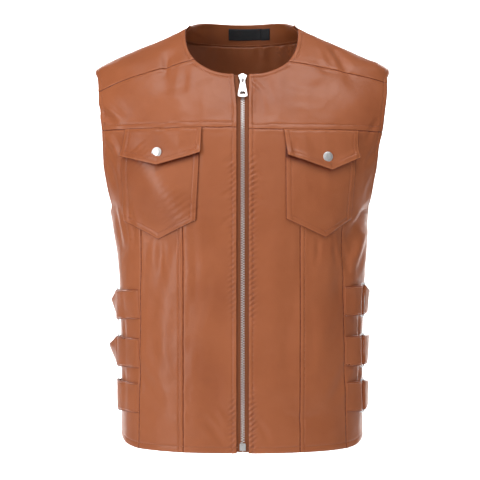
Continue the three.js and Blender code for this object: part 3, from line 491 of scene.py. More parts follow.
def relief(p):
    front = smooth(-p[..., 1] / SIDE_FADE)
    rear = smooth(p[..., 1] / SIDE_FADE)
    high = smooth((p[..., 2] + 30) / 40)
    total = large_folds(p)
    total += zip_ridge(p)
    total += front * creases(p, FRONT_CREASES, True) + rear * creases(p, BACK_CREASES, False)
    uneven = 0.0
    for seed, (height, squash, size, folded) in enumerate(SWELLINGS, start=1):
        value = noise(p * [1, 1, squash], size, seed)
        uneven = uneven + height * (np.abs(value) if folded else value)
    total += (1 - 0.7 * high) * uneven
    return total


def cloth(place, offset):
    p = form(place)
    n = form_normal(place)
    return p + n * (relief(p) + offset)[..., None], n


# Places found from what is known of them
def place_front(x, z):
    x, z = np.broadcast_arrays(np.asarray(x, float), np.asarray(z, float))
    across = np.minimum(1, np.abs(x) / half_width(z))
    n = front_square(z)
    return places(np.sign(x) * np.arctan2(across, (1 - across ** n) ** (1 / n)), z)


def place_back(x, z):
    x, z = np.broadcast_arrays(np.asarray(x, float), np.asarray(z, float))
    across = np.minimum(1, np.abs(x) / half_width(z))
    n = back_square(z)
    sign = np.where(x < 0, -1.0, 1.0)
    return places(sign * (np.pi - np.arctan2(across, (1 - across ** n) ** (1 / n))), z)


def place_side(sign, y, z):
    y, z = np.broadcast_arrays(np.asarray(y, float), np.asarray(z, float))
    n = np.where(y < 0, front_square(z), back_square(z))
    away = np.abs(y) / np.where(y < 0, front_depth(z), back_depth(z))
    return places(sign * np.arctan2((1 - away ** n) ** (1 / n), -np.sign(y) * away), z)


def place_hem(angle):
    angle = np.asarray(angle, float)
    turn = np.degrees(np.abs(angle))
    rise = HEM_SIDE_RISE * smooth((turn - 50) / 38)
    return places(angle, HEM_FRONT + rise - HEM_BACK_DROP * smooth((turn - 110) / 60))


ARM_MIDDLE = (ARMHOLE_TOP + ARMHOLE_BOTTOM) / 2
ARM_HALF = (ARMHOLE_TOP - ARMHOLE_BOTTOM) / 2


def place_armhole(sign, turn, ahead):
    turn = np.asarray(turn, float)
    pointedness = ARMHOLE_POINTEDNESS_FRONT if ahead else ARMHOLE_POINTEDNESS_BACK
    power = np.where(turn < np.pi / 2, pointedness, ARMHOLE_ROUNDNESS)
    reach = np.maximum(1e-6, np.sin(turn)) ** power
    y = -ARMHOLE_FRONT * reach if ahead else ARMHOLE_BACK * reach
    return place_side(sign, y, ARM_MIDDLE + ARM_HALF * np.cos(turn))


def armhole_turn(z):
    return np.arccos(np.clip((np.asarray(z, float) - ARM_MIDDLE) / ARM_HALF, -1, 1))


def place_neck_front(sign, x):
    across = np.minimum(1, np.abs(x) / NECK_HALF_WIDTH)
    z = -NECK_DROP * (1 - across ** NECK_ROUNDNESS) ** (1 / NECK_ROUNDNESS)
    return place_front(sign * np.abs(x), z)


def neck_x_at(z):
    down = np.clip(-np.asarray(z, float) / NECK_DROP, 0, 1)
    return NECK_HALF_WIDTH * (1 - down ** NECK_ROUNDNESS) ** (1 / NECK_ROUNDNESS)


def place_neck_back(x):
    across = np.minimum(1, np.abs(x) / NECK_HALF_WIDTH)
    return place_back(x, BACK_NECK_RISE * (1 - across ** BACK_NECK_FLATNESS))


def side_seam_x(z):
    return lerp(158, 151, np.clip((np.asarray(z, float) - HEM_FRONT) / 480, 0, 1))


def edge_x(side, z):
    return ZIP_GAP + side["flare"] * smooth((np.asarray(z, float) + 140) / 62)


def armhole_x_at(side, z):
    return abs(even_form(place_armhole(side["sign"], armhole_turn(z), True))[..., 0])


# Shares from 0 to 1 for an edge of a length: close together at its ends, and round the rows of
# stitches that run at a distance from its start and its end
def shares(length, pitch, start_row=None, end_row=None):
    rim = [0.0, 0.35, 0.9, 1.8, 3.2]
    groove = np.array([-2.0, -1.1, -0.5, 0.0, 0.5, 1.1, 2.2])
    near = rim + ([] if start_row is None else list(start_row + groove))
    far = rim + ([] if end_row is None else list(end_row + groove))
    inner = np.linspace(near[-1], length - far[-1], max(3, int(length / pitch)) + 1)
    return np.concatenate([near[:-1], inner, [length - r for r in reversed(far[:-1])]]) / length


# A grid of places between four edges, each a function of shares
def fill(bottom, top, first, last, u, v):
    b, t, f, l = bottom(u), top(u), first(v), last(v)
    corners = [bottom(np.array([0.0]))[0], bottom(np.array([1.0]))[0],
               top(np.array([0.0]))[0], top(np.array([1.0]))[0]]
    uu, vv = u[None, :, None], v[:, None, None]
    bilinear = ((1 - vv) * ((1 - uu) * corners[0] + uu * corners[1])
                + vv * ((1 - uu) * corners[2] + uu * corners[3]))
    grid = ((1 - uu) * f[:, None] + uu * l[:, None] + (1 - vv) * b[None] + vv * t[None] - bilinear)
    grid[0], grid[-1] = b, t
    return grid


def upright_panel(side, x_first, x_last, u, v):
    top = side["yoke_z"] - SEAM / 2

    def line(x_at):
        foot = place_hem(place_front(side["sign"] * x_at(HEM_FRONT), HEM_FRONT)[0])[1]
        return lambda t: place_front(side["sign"] * x_at(lerp(foot, top, t)), lerp(foot, top, t))
    first, last = line(x_first), line(x_last)
    a, b = first(np.array([0.0]))[0, 0], last(np.array([0.0]))[0, 0]
    return fill(lambda t: place_hem(lerp(a, b, t)),
                lambda t: place_front(side["sign"] * lerp(x_first(top), x_last(top), t), top),
                first, last, u, v)


def side_panel(side, u, v):
    sign, top = side["sign"], side["yoke_z"] - SEAM / 2
    seam_angle = sign * (math.radians(SIDE_SEAM_DEG) - SEAM / 240)
    hem_edge = place_hem(seam_angle)[1]
    foot = place_hem(place_front(sign * side_seam_x(HEM_FRONT), HEM_FRONT)[0])[1]
    knee = 12 / 17

    def first(t):
        z = lerp(foot, top, t)
        return place_front(sign * (side_seam_x(z) + SEAM / 2), z)

    def last(t):
        seam = places(seam_angle, lerp(hem_edge, ARMHOLE_BOTTOM, np.minimum(1, t / knee)))
        turn = lerp(math.pi - 0.02, armhole_turn(top), np.clip((t - knee) / (1 - knee), 0, 1))
        return np.where((t < knee)[:, None], seam, place_armhole(sign, turn, True))
    a = first(np.array([0.0]))[0, 0]
    return fill(lambda t: place_hem(lerp(a, seam_angle, t)),
                lambda t: place_front(sign * lerp(side_seam_x(top) + SEAM / 2,
                                                  armhole_x_at(side, top), t), top),
                first, last, u, v)


def shoulder_seam(side, shift, t):
    neck_z, arm_z = side["seam_neck_z"] + shift, side["seam_arm_z"] + shift
    neck_x, arm_x = neck_x_at(neck_z), armhole_x_at(side, arm_z)
    return place_front(side["sign"] * lerp(neck_x, arm_x, t),
                       lerp(neck_z, arm_z, t) + 3 * np.sin(np.pi * t))


def yoke(side, u, v):
    sign, foot = side["sign"], side["yoke_z"] + SEAM / 2
    knots = [0, 6 / 14, 10 / 14, 1]
    xs = [float(edge_x(side, foot)), side["princess_x"], float(side_seam_x(foot)),
          float(armhole_x_at(side, foot))]
    start_x = float(edge_x(side, -NECK_DROP))
    corner_x = float(neck_x_at(side["seam_neck_z"] - SEAM / 2))
    knee = 5 / 14

    def top(t):
        neck = place_neck_front(sign, lerp(start_x, corner_x, np.minimum(1, t / knee) ** 0.75))
        seam = shoulder_seam(side, -SEAM / 2, np.clip((t - knee) / (1 - knee), 0, 1))
        return np.where((t < knee)[:, None], neck, seam)
    top_z = top(np.array([0.0]))[0, 1]
    end_z = top(np.array([1.0]))[0, 1]

    def first(t):
        z = lerp(foot, top_z, t)
        return place_front(sign * edge_x(side, z), z)
    return fill(lambda t: place_front(sign * np.interp(t, knots, xs), foot), top, first,
                lambda t: place_armhole(sign, lerp(armhole_turn(foot), armhole_turn(end_z), t),
                                        True), u, v)


def ridge(sign, y, t):
    return place_side(sign, y, lerp(-0.4, ARMHOLE_TOP - 0.4, t))


def shoulder(side, u, v):
    sign = side["sign"]
    low = shoulder_seam(side, SEAM / 2, np.array([0.0, 1.0]))

    def first(t):
        z = lerp(low[0, 1], -0.4, t)
        return place_front(sign * neck_x_at(z), z)
    return fill(lambda t: shoulder_seam(side, SEAM / 2, t),
                lambda t: ridge(sign, -SEAM / 2, t), first,
                lambda t: place_armhole(sign, lerp(armhole_turn(low[1, 1]),
                                                   armhole_turn(ARMHOLE_TOP - 0.4), t), True),
                u, v)


# A line of places moved along the cloth, to the left of its direction when the shift is positive
def beside(line, shift):
    for _ in range(3 if abs(shift) > 0 else 0):
        step = shift / 3
        p = form(line)
        along = unit(np.gradient(p, axis=0))
        across = np.cross(form_normal(line), along)
        turn, lift = np.array([0.002, 0.0]), np.array([0.0, 0.4])
        du = (form(line + turn) - form(line - turn)) / 0.004
        dv = (form(line + lift) - form(line - lift)) / 0.8
        uu, vv, uv = (du * du).sum(-1), (dv * dv).sum(-1), (du * dv).sum(-1)
        ru, rv = (du * across).sum(-1) * step, (dv * across).sum(-1) * step
        det = uu * vv - uv * uv
        line = line + np.stack([(ru * vv - rv * uv) / det, (rv * uu - ru * uv) / det], axis=-1)
    return line


def resample(line, pitch):
    p = form(line)
    run = np.concatenate([[0], np.cumsum(np.linalg.norm(np.diff(p, axis=0), axis=1))])
    at = np.linspace(0, run[-1], max(2, int(run[-1] / pitch) + 1))
    return np.stack([np.interp(at, run, line[:, 0]), np.interp(at, run, line[:, 1])], axis=-1)


# Distance from each point to a line of points, no further than a reach
def distance_to(points, line, reach):
    flat = points.reshape(-1, 3)
    out = np.full(len(flat), reach)
    box_low, box_high = line.min(0) - reach, line.max(0) + reach
    near = np.nonzero(((flat > box_low) & (flat < box_high)).all(axis=1))[0]
    for start in range(0, len(near), 4000):
        part = near[start:start + 4000]
        gap = flat[part][:, None, :] - line[None]
        out[part] = np.minimum(reach, np.sqrt((gap * gap).sum(-1).min(axis=1)))
    return out.reshape(points.shape[:-1])


# Materials
def nodes_of(name):
    mat = bpy.data.materials.new(name)
    mat.use_nodes = True
    tree = mat.node_tree
    shader = tree.nodes["Principled BSDF"]
    return mat, tree, shader


def link(tree, a, b):
    tree.links.new(a, b)


def noise_node(tree, coords, scale, detail, rough):
    node = tree.nodes.new("ShaderNodeTexNoise")
    node.inputs["Scale"].default_value = scale
    node.inputs["Detail"].default_value = detail
    node.inputs["Roughness"].default_value = rough
    link(tree, coords, node.inputs["Vector"])
    return node


def ramp_node(tree, factor, stops):
    ramp = tree.nodes.new("ShaderNodeValToRGB")
    for k, (at, colour) in enumerate(stops):
        element = ramp.color_ramp.elements[k] if k < 2 else ramp.color_ramp.elements.new(at)
        element.position = at
        element.color = (*colour, 1)
    link(tree, factor, ramp.inputs["Fac"])
    return ramp


def spread_node(tree, factor, low, high):
    spread = tree.nodes.new("ShaderNodeMapRange")
    spread.inputs["To Min"].default_value = low
    spread.inputs["To Max"].default_value = high
    link(tree, factor, spread.inputs["Value"])
    return spread


def bump_node(tree, height, strength, distance, before=None):
    bump = tree.nodes.new("ShaderNodeBump")
    bump.inputs["Strength"].default_value = strength
    bump.inputs["Distance"].default_value = distance
    link(tree, height, bump.inputs["Height"])
    if before is not None:
        link(tree, before.outputs["Normal"], bump.inputs["Normal"])
    return bump


def leather_material(name, light, middle, dark, rough):
    mat, tree, shader = nodes_of(name)
    coords = tree.nodes.new("ShaderNodeTexCoord").outputs["Object"]
    broad = noise_node(tree, coords, 9, 4, 0.55)
    colour = ramp_node(tree, broad.outputs["Fac"], [(0.3, dark), (0.72, light), (0.5, middle)])
    # The colour is multiplied by the painted shade and highlight of each point
    shade = tree.nodes.new("ShaderNodeAttribute")
    shade.attribute_name = SHADE
    shaded = tree.nodes.new("ShaderNodeVectorMath")
    shaded.operation = "MULTIPLY"
    link(tree, colour.outputs["Color"], shaded.inputs[0])
    link(tree, shade.outputs["Vector"], shaded.inputs[1])
    link(tree, shaded.outputs["Vector"], shader.inputs["Base Color"])
    gloss = noise_node(tree, coords, 38, 3, 0.6)
    spread = spread_node(tree, gloss.outputs["Fac"], rough - 0.06, rough + 0.09)
    link(tree, spread.outputs["Result"], shader.inputs["Roughness"])
    grain = tree.nodes.new("ShaderNodeTexVoronoi")
    grain.feature = "SMOOTH_F1"
    grain.inputs["Scale"].default_value = 620
    link(tree, coords, grain.inputs["Vector"])
    fine = bump_node(tree, grain.outputs["Distance"], 0.22, 0.0004)
    wrinkle = noise_node(tree, coords, 120, 5, 0.6)
    rumpled = bump_node(tree, wrinkle.outputs["Fac"], 0.25, 0.0008, fine)
    link(tree, rumpled.outputs["Normal"], shader.inputs["Normal"])
    shader.inputs["Specular IOR Level"].default_value = 0.38
    shader.inputs["Coat Weight"].default_value = 0.08
    shader.inputs["Coat Roughness"].default_value = 0.35
    return mat


def woven_material(name, first, second, scale, rough, sheen):
    mat, tree, shader = nodes_of(name)
    coords = tree.nodes.new("ShaderNodeTexCoord").outputs["Object"]
    weave = tree.nodes.new("ShaderNodeTexWave")
    weave.wave_type = "BANDS"
    weave.bands_direction = "DIAGONAL"
    weave.inputs["Scale"].default_value = scale
    weave.inputs["Distortion"].default_value = 1.2
    link(tree, coords, weave.inputs["Vector"])
    colour = ramp_node(tree, weave.outputs["Fac"], [(0.2, first), (0.8, second)])
    link(tree, colour.outputs["Color"], shader.inputs["Base Color"])
    bump = bump_node(tree, weave.outputs["Fac"], 0.3, 0.0003)
    link(tree, bump.outputs["Normal"], shader.inputs["Normal"])
    shader.inputs["Roughness"].default_value = rough
    shader.inputs["Sheen Weight"].default_value = sheen
    return mat


def metal_material(name, colour, rough):
    mat, tree, shader = nodes_of(name)
    coords = tree.nodes.new("ShaderNodeTexCoord").outputs["Object"]
    marks = noise_node(tree, coords, 420, 3, 0.6)
    spread = spread_node(tree, marks.outputs["Fac"], rough - 0.05, rough + 0.1)
    link(tree, spread.outputs["Result"], shader.inputs["Roughness"])
    tint = ramp_node(tree, marks.outputs["Fac"], [
        (0.3, tuple(c * 0.86 for c in colour)), (0.7, colour)])
    link(tree, tint.outputs["Color"], shader.inputs["Base Color"])
    shader.inputs["Metallic"].default_value = 1
    return mat


LEATHER_MAT = leather_material("tan_leather", (0.485, 0.146, 0.056), (0.445, 0.130, 0.047),
                               (0.400, 0.111, 0.039), 0.36)
FACING_MAT = leather_material("facing_leather", (0.33, 0.092, 0.025), (0.28, 0.075, 0.019),
                              (0.23, 0.060, 0.014), 0.55)
LINING_MAT = woven_material("brown_lining", (0.25, 0.068, 0.018), (0.33, 0.092, 0.026), 420,
                            0.45, 0.1)
TAPE_MAT = woven_material("zip_tape_cloth", (0.23, 0.062, 0.017), (0.29, 0.080, 0.024), 700,
                          0.8, 0.1)
LABEL_MAT = woven_material("black_label", (0.005, 0.006, 0.008), (0.013, 0.015, 0.019), 900,
                           0.7, 0.05)
METAL_MAT = metal_material("silver_metal", (0.94, 0.93, 0.93), 0.36)
THREAD_MAT = woven_material("tan_thread", (0.40, 0.135, 0.062), (0.56, 0.22, 0.11), 1500, 0.6,
                            0.05)


def new_mesh(name, points, faces, materials, is_smooth=True):
    mesh = bpy.data.meshes.new(name)
    mesh.from_pydata(points, [], faces)
    mesh.polygons.foreach_set("use_smooth", np.full(len(mesh.polygons), is_smooth))
    for material in materials:
        mesh.materials.append(material)
    return mesh


def new_object(name, mesh):
    obj = bpy.data.objects.new(name, mesh)
    bpy.context.scene.collection.objects.link(obj)
    return obj


def new_piece(name, mesh, body="vest", node=None):
    obj = new_object(name, mesh)
    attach(obj, body)
    if node is not None:
        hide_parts(node)
    return obj


# A closed shell from patches of inner and outer points, which join where they meet
def shell(name, patches, material, inner_material=None, node=None, shades=None):
    inner = np.concatenate([p[0].reshape(-1, 3) for p in patches])
    outer = np.concatenate([p[1].reshape(-1, 3) for p in patches])
    keys = np.round(inner * 100).astype(np.int64)
    _, first, index = np.unique(keys, axis=0, return_index=True, return_inverse=True)
    index = index.reshape(-1)
    count = len(first)
    quads, start = [], 0
    for p in patches:
        rows, columns = p[0].shape[:2]
        at = index[start:start + rows * columns].reshape(rows, columns)
        start += rows * columns
        quads.append(np.stack([at[:-1, :-1], at[:-1, 1:], at[1:, 1:], at[1:, :-1]],
                              axis=-1).reshape(-1, 4))
    quads = np.concatenate(quads)
    edges = np.concatenate([quads[:, [k, (k + 1) % 4]] for k in range(4)])
    edges = edges[edges[:, 0] != edges[:, 1]]
    forward = edges[:, 0] * count + edges[:, 1]
    rim = edges[~np.isin(forward, edges[:, 1] * count + edges[:, 0])]
    faces = [quads + count, quads[:, ::-1],
             np.stack([rim[:, 1] + count, rim[:, 0] + count, rim[:, 0], rim[:, 1]], axis=-1)]
    slots = np.concatenate([np.zeros(len(faces[0])), np.ones(len(faces[1])),
                            np.zeros(len(faces[2]))]).astype(np.int32)
    points = np.concatenate([inner[first], outer[first]]) * MM
    faces = np.concatenate(faces)
    centre = points[faces].mean(axis=1)
    a, b, c, d = (points[faces[:, k]] for k in range(4))
    area = np.cross(c - a, d - b)
    if (centre * area).sum() < 0:
        faces = faces[:, ::-1]
    corners = [tuple(dict.fromkeys(face)) for face in faces.tolist()]
    kept = [k for k, face in enumerate(corners) if len(face) > 2]
    materials = [material] if inner_material is None else [material, inner_material]
    mesh = new_mesh(name, points.tolist(), [corners[k] for k in kept], materials)
    if inner_material is not None:
        mesh.polygons.foreach_set("material_index", slots[kept])
    mesh.update()
    # The outer points carry the painted shade and highlight, darker ones tinted redder
    shade = np.ones((2 * count, 4), dtype=np.float32)
    if shades is not None:
        outer_shade = np.concatenate([s.reshape(-1) for s in shades])[first]
        shade[count:, :3] = outer_shade[:, None] ** SHADE_TINT
    layer = mesh.color_attributes.new(SHADE, "FLOAT_COLOR", "POINT")
    layer.data.foreach_set("color", shade.reshape(-1))
    return new_piece(name, mesh, node=node)


# A thin cloth between two distances from the form
def layer_cloth(name, grid, low, high, material, node):
    under, _ = cloth(grid, low)
    over, _ = cloth(grid, high)
    return shell(name, [(under, over)], material, node=node)


STITCHES = {}


# Stitches along a line of places: each an oval drop of thread, half sunk in the cloth
def stitch(group, line, offset):
    line = resample(line, STITCH_PITCH)
    lift = offset(line) if callable(offset) else offset
    p, n = cloth(line, lift)
    along = unit(np.gradient(p, axis=0))
    across = np.cross(n, along)
    STITCHES.setdefault(group, []).append((p, along, across, n))


def make_stitches():
    profile = [(-0.5, 0.25), (-0.36, 0.85), (0, 1.0), (0.36, 0.85), (0.5, 0.25)]
    for group, runs in STITCHES.items():
        points, faces, base = [], [], 0
        for p, along, across, n in runs:
            rings = []
            for at, fat in profile:
                for turn in range(STITCH_SIDES):
                    angle = 2 * math.pi * turn / STITCH_SIDES
                    rings.append(p + along * at * STITCH_LENGTH
                                 + across * (math.cos(angle) * STITCH_HALF_WIDTH * fat)
                                 + n * (math.sin(angle) * STITCH_HALF_WIDTH * fat * 0.8))
            block = np.stack(rings, axis=1)
            points.append(block.reshape(-1, 3))
            per = block.shape[1]
            one = []
            for ring in range(len(profile) - 1):
                for turn in range(STITCH_SIDES):
                    a = ring * STITCH_SIDES + turn
                    b = ring * STITCH_SIDES + (turn + 1) % STITCH_SIDES
                    one.append((a, b, b + STITCH_SIDES, a + STITCH_SIDES))
            one = np.array(one)
            starts = base + per * np.arange(len(p))
            faces.append((starts[:, None, None] + one[None]).reshape(-1, 4))
            base += per * len(p)
        new_piece(group, new_mesh(group, (np.concatenate(points) * MM).tolist(),
                                  np.concatenate(faces).tolist(), [THREAD_MAT]))


# The worked cloth of a panel: its edges roll down, a doubled margin runs inside each, and each
# row of stitches lies in a groove between small puckers. Gives the lift, and the painted shade and
# highlight of the colour: painted shade in each seam and row, a painted highlight along each edge.
def worked(grid, rims, rows, margin=6.0, seed=0, puckered=0.0, edge_shine=0.16):
    p = form(grid)
    lift = np.zeros(grid.shape[:-1])
    shade = np.ones(grid.shape[:-1])
    roughness = noise(p, 8, 20 + seed)
    for rim in rims:
        gap = distance_to(p, form(resample(rim, 1.0)), 16.0)
        lift -= ROLL_DEPTH * np.exp(-(gap / ROLL_WIDTH) ** 1.4)
        lift += MARGIN_LIFT * smooth((margin + 1.2 - gap) / 1.6)
        lift += MARGIN_UNEVEN * roughness * np.exp(-((gap - 3) / 5) ** 2)
        # Painted shade in the seam, and a painted highlight just inside the edge
        shade *= 1 - SEAM_SHADE * np.exp(-(gap / 0.75) ** 2)
        shade *= 1 + edge_shine * np.exp(-((gap - 1.5) / 0.8) ** 2)
    for row in rows:
        gap = distance_to(p, form(resample(row, 1.0)), 12.0)
        uneven = 1 + 0.5 * noise(p, 4.2, 40 + seed)
        lift += (PUFF_LIFT * np.exp(-((gap - 2.6) / 1.5) ** 2)
                 - GROOVE_DEPTH * np.exp(-(gap / 1.0) ** 2)) * uneven
        # Painted shade along the row's groove
        shade *= 1 - ROW_SHADE * np.exp(-(gap / 0.8) ** 2)
    if puckered:
        gap = distance_to(p, form(resample(rows[0], 1.0)), 20.0)
        slant = p[..., 2] - PUCKER_SLANT * p[..., 0]
        wave = np.sin(2 * np.pi * slant / PUCKER_PITCH + 2.4 * noise(p, 26, 50 + seed))
        strength = np.clip(0.55 + 0.9 * noise(p * [0.3, 0.3, 1], 60, 52 + seed), 0.1, 1.2)
        lift += puckered * strength * wave * np.exp(-((gap - 1) / PUCKER_REACH) ** 2)
    return lift, shade


def panel(node, grids, thickness, offset, lift_and_painted_shade, inner_material=None):
    patches = []
    for grid, (lift, _) in zip(grids, lift_and_painted_shade):
        low = offset(grid) if callable(offset) else offset
        under, _ = cloth(grid, low)
        over, _ = cloth(grid, low + np.maximum(thickness + lift, 0.35 * thickness))
        patches.append((under, over))
    return shell(f"{node}_cloth", patches, LEATHER_MAT, inner_material, node=node,
                 shades=[shade for _, shade in lift_and_painted_shade])


def edges_of(grid):
    return [grid[0], grid[-1], grid[:, 0], grid[:, -1]]


def swell(side, place):
    pocket = side["pocket"]
    x = np.abs(even_form(place)[..., 0])
    t = np.clip((x - pocket["inner"]) / (pocket["outer"] - pocket["inner"]), 0, 1)
    across = np.maximum(np.sin(np.pi * t), 0)
    down = np.maximum(np.sin(np.pi * np.clip((place[..., 1] + 335) / 165, 0, 1)), 0)
    return POCKET_SWELL * across ** 0.7 * down ** 0.8


# The height of a pointed patch's foot, and how far its edges lean there
def foot_z(patch, x):
    return np.interp(x, [patch["inner"], patch["point_x"], patch["outer"]],
                     [patch["corner_inner_z"], patch["point_z"], patch["corner_outer_z"]])


def foot_lean(patch, x):
    return np.interp(x, [patch["inner"], patch["point_x"], patch["outer"]],
                     [patch["lean_inner"], 0, patch["lean_outer"]])


def pointed(side, patch, top_z, u, v):
    x = lerp(patch["inner"], patch["outer"], u)[None, :]
    t = v[:, None]
    return place_front(side["sign"] * (x + foot_lean(patch, x) * (1 - t)),
                       lerp(foot_z(patch, x), top_z, t))


# Lines inside a pointed patch's edges, an inset away from them
def pointed_rows(side, patch, top_z, inset):
    low_inner = patch["inner"] + patch["lean_inner"] + inset
    low_outer = patch["outer"] + patch["lean_outer"] - inset
    rise = 1.12 * inset
    corners = [(patch["inner"] + inset, top_z),
               (low_inner, float(foot_z(patch, low_inner)) + rise),
               (patch["point_x"], patch["point_z"] + rise),
               (low_outer, float(foot_z(patch, low_outer)) + rise),
               (patch["outer"] - inset, top_z)]
    t = np.linspace(0, 1, 90)
    return [place_front(side["sign"] * lerp(xa, xb, t), lerp(za, zb, t))
            for (xa, za), (xb, zb) in zip(corners[:-1], corners[1:])]


def pocket_offset(side, place):
    return POCKET_LOW + swell(side, place)


def flap_offset(side, place):
    lifted = smooth((side["yoke_z"] - place[..., 1]) / 4.5)
    x = np.abs(even_form(place)[..., 0])
    over_foot = place[..., 1] - foot_z(side["flap"], x)
    edge = FLAP_EDGE_LIFT * np.exp(-(over_foot / 11) ** 2)
    return lerp(POCKET_LOW, FLAP_LOW + swell(side, place) + edge, lifted)


def front_panels(side):
    sign, name, top = side["sign"], side["name"], side["yoke_z"]
    princess = side["princess_x"]
    z_line = np.linspace(HEM_FRONT, top, 500)
    z_edge = np.linspace(HEM_FRONT, -84, 500)
    placket_row = beside(place_front(sign * edge_x(side, z_edge), z_edge), -sign * STITCH_GAP)
    princess_row = place_front(np.full(500, sign * (princess + STITCH_GAP)), z_line)
    hem_row = place_hem(sign * np.linspace(0.045, math.radians(SIDE_SEAM_DEG), 300))
    hem_row = places(hem_row[:, 0], hem_row[:, 1] + HEM_ROW_RISE)
    arm_row = beside(place_armhole(sign, np.linspace(math.pi - 0.03, 0.06, 400), True),
                     sign * STITCH_GAP)
    neck_row = beside(place_neck_front(sign, np.linspace(8, NECK_HALF_WIDTH - 0.05, 300)),
                      -sign * STITCH_GAP)
    neck_row = neck_row[np.abs(form(neck_row)[:, 0]) > edge_x(side, -90) + STITCH_GAP - 1]
    yoke_end = float(armhole_x_at(side, top + YOKE_ROW_RISE)) - 4
    yoke_row = place_front(sign * np.linspace(14, yoke_end, 300), np.full(300, top + YOKE_ROW_RISE))
    ridge_row = beside(ridge(sign, -SEAM / 2, np.linspace(0.02, 0.98, 300)), sign * STITCH_GAP)
    rows_up = shares(485, PITCH, HEM_ROW_RISE)

    def sew(piece, grid, rows, seed, puckered=0.0):
        node = f"{piece}_{name}"
        lift_and_painted_shade = worked(grid, edges_of(grid), rows, seed=seed, puckered=puckered)
        panel(node, [grid], LEATHER, 0, [lift_and_painted_shade], LINING_MAT)

    grid = upright_panel(side, lambda z: edge_x(side, z), lambda z: princess - SEAM / 2 + 0 * z,
                         shares(80, PITCH, STITCH_GAP), shares(485, FRONT_ROW_PITCH, HEM_ROW_RISE))
    sew("front_center", grid, [placket_row, hem_row], 1,
        puckered=1.8 if sign > 0 else 1.3)
    grid = upright_panel(side, lambda z: princess + SEAM / 2 + 0 * z,
                         lambda z: side_seam_x(z) - SEAM / 2, shares(76, PITCH, STITCH_GAP),
                         rows_up)
    sew("front_middle", grid, [princess_row, hem_row], 2, puckered=0.3)
    grid = side_panel(side, shares(95, PITCH, None, STITCH_GAP), rows_up)
    sew("front_side", grid, [arm_row, hem_row], 3, 0.35)
    grid = yoke(side, shares(220, PITCH, STITCH_GAP, STITCH_GAP),
                shares(100, PITCH, YOKE_ROW_RISE, STITCH_GAP))
    sew("front_yoke", grid, [placket_row, neck_row, arm_row, yoke_row], 4, 0.3)
    grid = shoulder(side, shares(175, PITCH, STITCH_GAP, STITCH_GAP),
                    shares(70, PITCH, None, STITCH_GAP))
    sew("shoulder", grid, [neck_row, arm_row, ridge_row], 5)

    for row in (placket_row, princess_row, hem_row, arm_row, neck_row, yoke_row, ridge_row):
        stitch(f"stitches_front_{name}", row, STITCH_LAY)


def pocket_and_flap(side):
    name, top = side["name"], side["yoke_z"]
    pocket, flap = side["pocket"], side["flap"]
    width = pocket["outer"] - pocket["inner"]
    u = np.unique(np.append(shares(width, PITCH, POCKET_ROWS[1], POCKET_ROWS[1]),
                            (pocket["point_x"] - pocket["inner"]) / width))
    grid = pointed(side, pocket, top - POCKET_MOUTH_DROP, u, shares(140, PITCH, 9.2))
    rows = [line for inset in POCKET_ROWS
            for line in pointed_rows(side, pocket, top - POCKET_MOUTH_DROP - 1, inset)]
    edges = edges_of(grid)
    # A painted highlight along the pocket's edges
    lift_and_painted_shade = worked(grid, [edges[0], edges[2], edges[3]], rows, PATCH_MARGIN, seed=6,
                    edge_shine=0.22)
    # Painted shadow: the pocket's colour is darker just below the flap, most towards the zip
    x = np.abs(even_form(grid)[..., 0])
    below = np.maximum(foot_z(flap, x) - grid[..., 1], 0)
    depth = np.interp(x, [flap["inner"], flap["outer"]], FLAP_SHADE)
    lift_and_painted_shade[1][...] *= 1 - depth * np.exp(-(below / FLAP_SHADE_REACH) ** 1.5)
    obj = panel(f"pocket_{name}", [grid], THIN, lambda place: pocket_offset(side, place), [lift_and_painted_shade])
    for row in rows:
        stitch(f"stitches_front_{name}", row,
               lambda place: pocket_offset(side, place) + THIN - THREAD_SINK)

    width = flap["outer"] - flap["inner"]
    u = np.unique(np.append(shares(width, PITCH, FLAP_ROWS[1], FLAP_ROWS[1]),
                            (flap["point_x"] - flap["inner"]) / width))
    grid = pointed(side, flap, top - SEAM, u, shares(48, 0.8 * PITCH, 9.0))
    rows = [line for inset in FLAP_ROWS for line in pointed_rows(side, flap, top - 2, inset)]
    # A painted highlight along the flap's edges
    lift_and_painted_shade = worked(grid, edges_of(grid), rows, PATCH_MARGIN, seed=7, edge_shine=0.35)
    obj = panel(f"flap_{name}", [grid], THIN, lambda place: flap_offset(side, place), [lift_and_painted_shade])
    for row in rows:
        stitch(f"stitches_front_{name}", row,
               lambda place: flap_offset(side, place) + THIN - THREAD_SINK)


for side in SIDES:
    front_panels(side)
    pocket_and_flap(side)


# The back, its facing and its lining
def back_crown(sign):
    return lambda t: place_neck_back(sign * NECK_HALF_WIDTH * np.sin(np.pi / 2 * t) + 0.0)


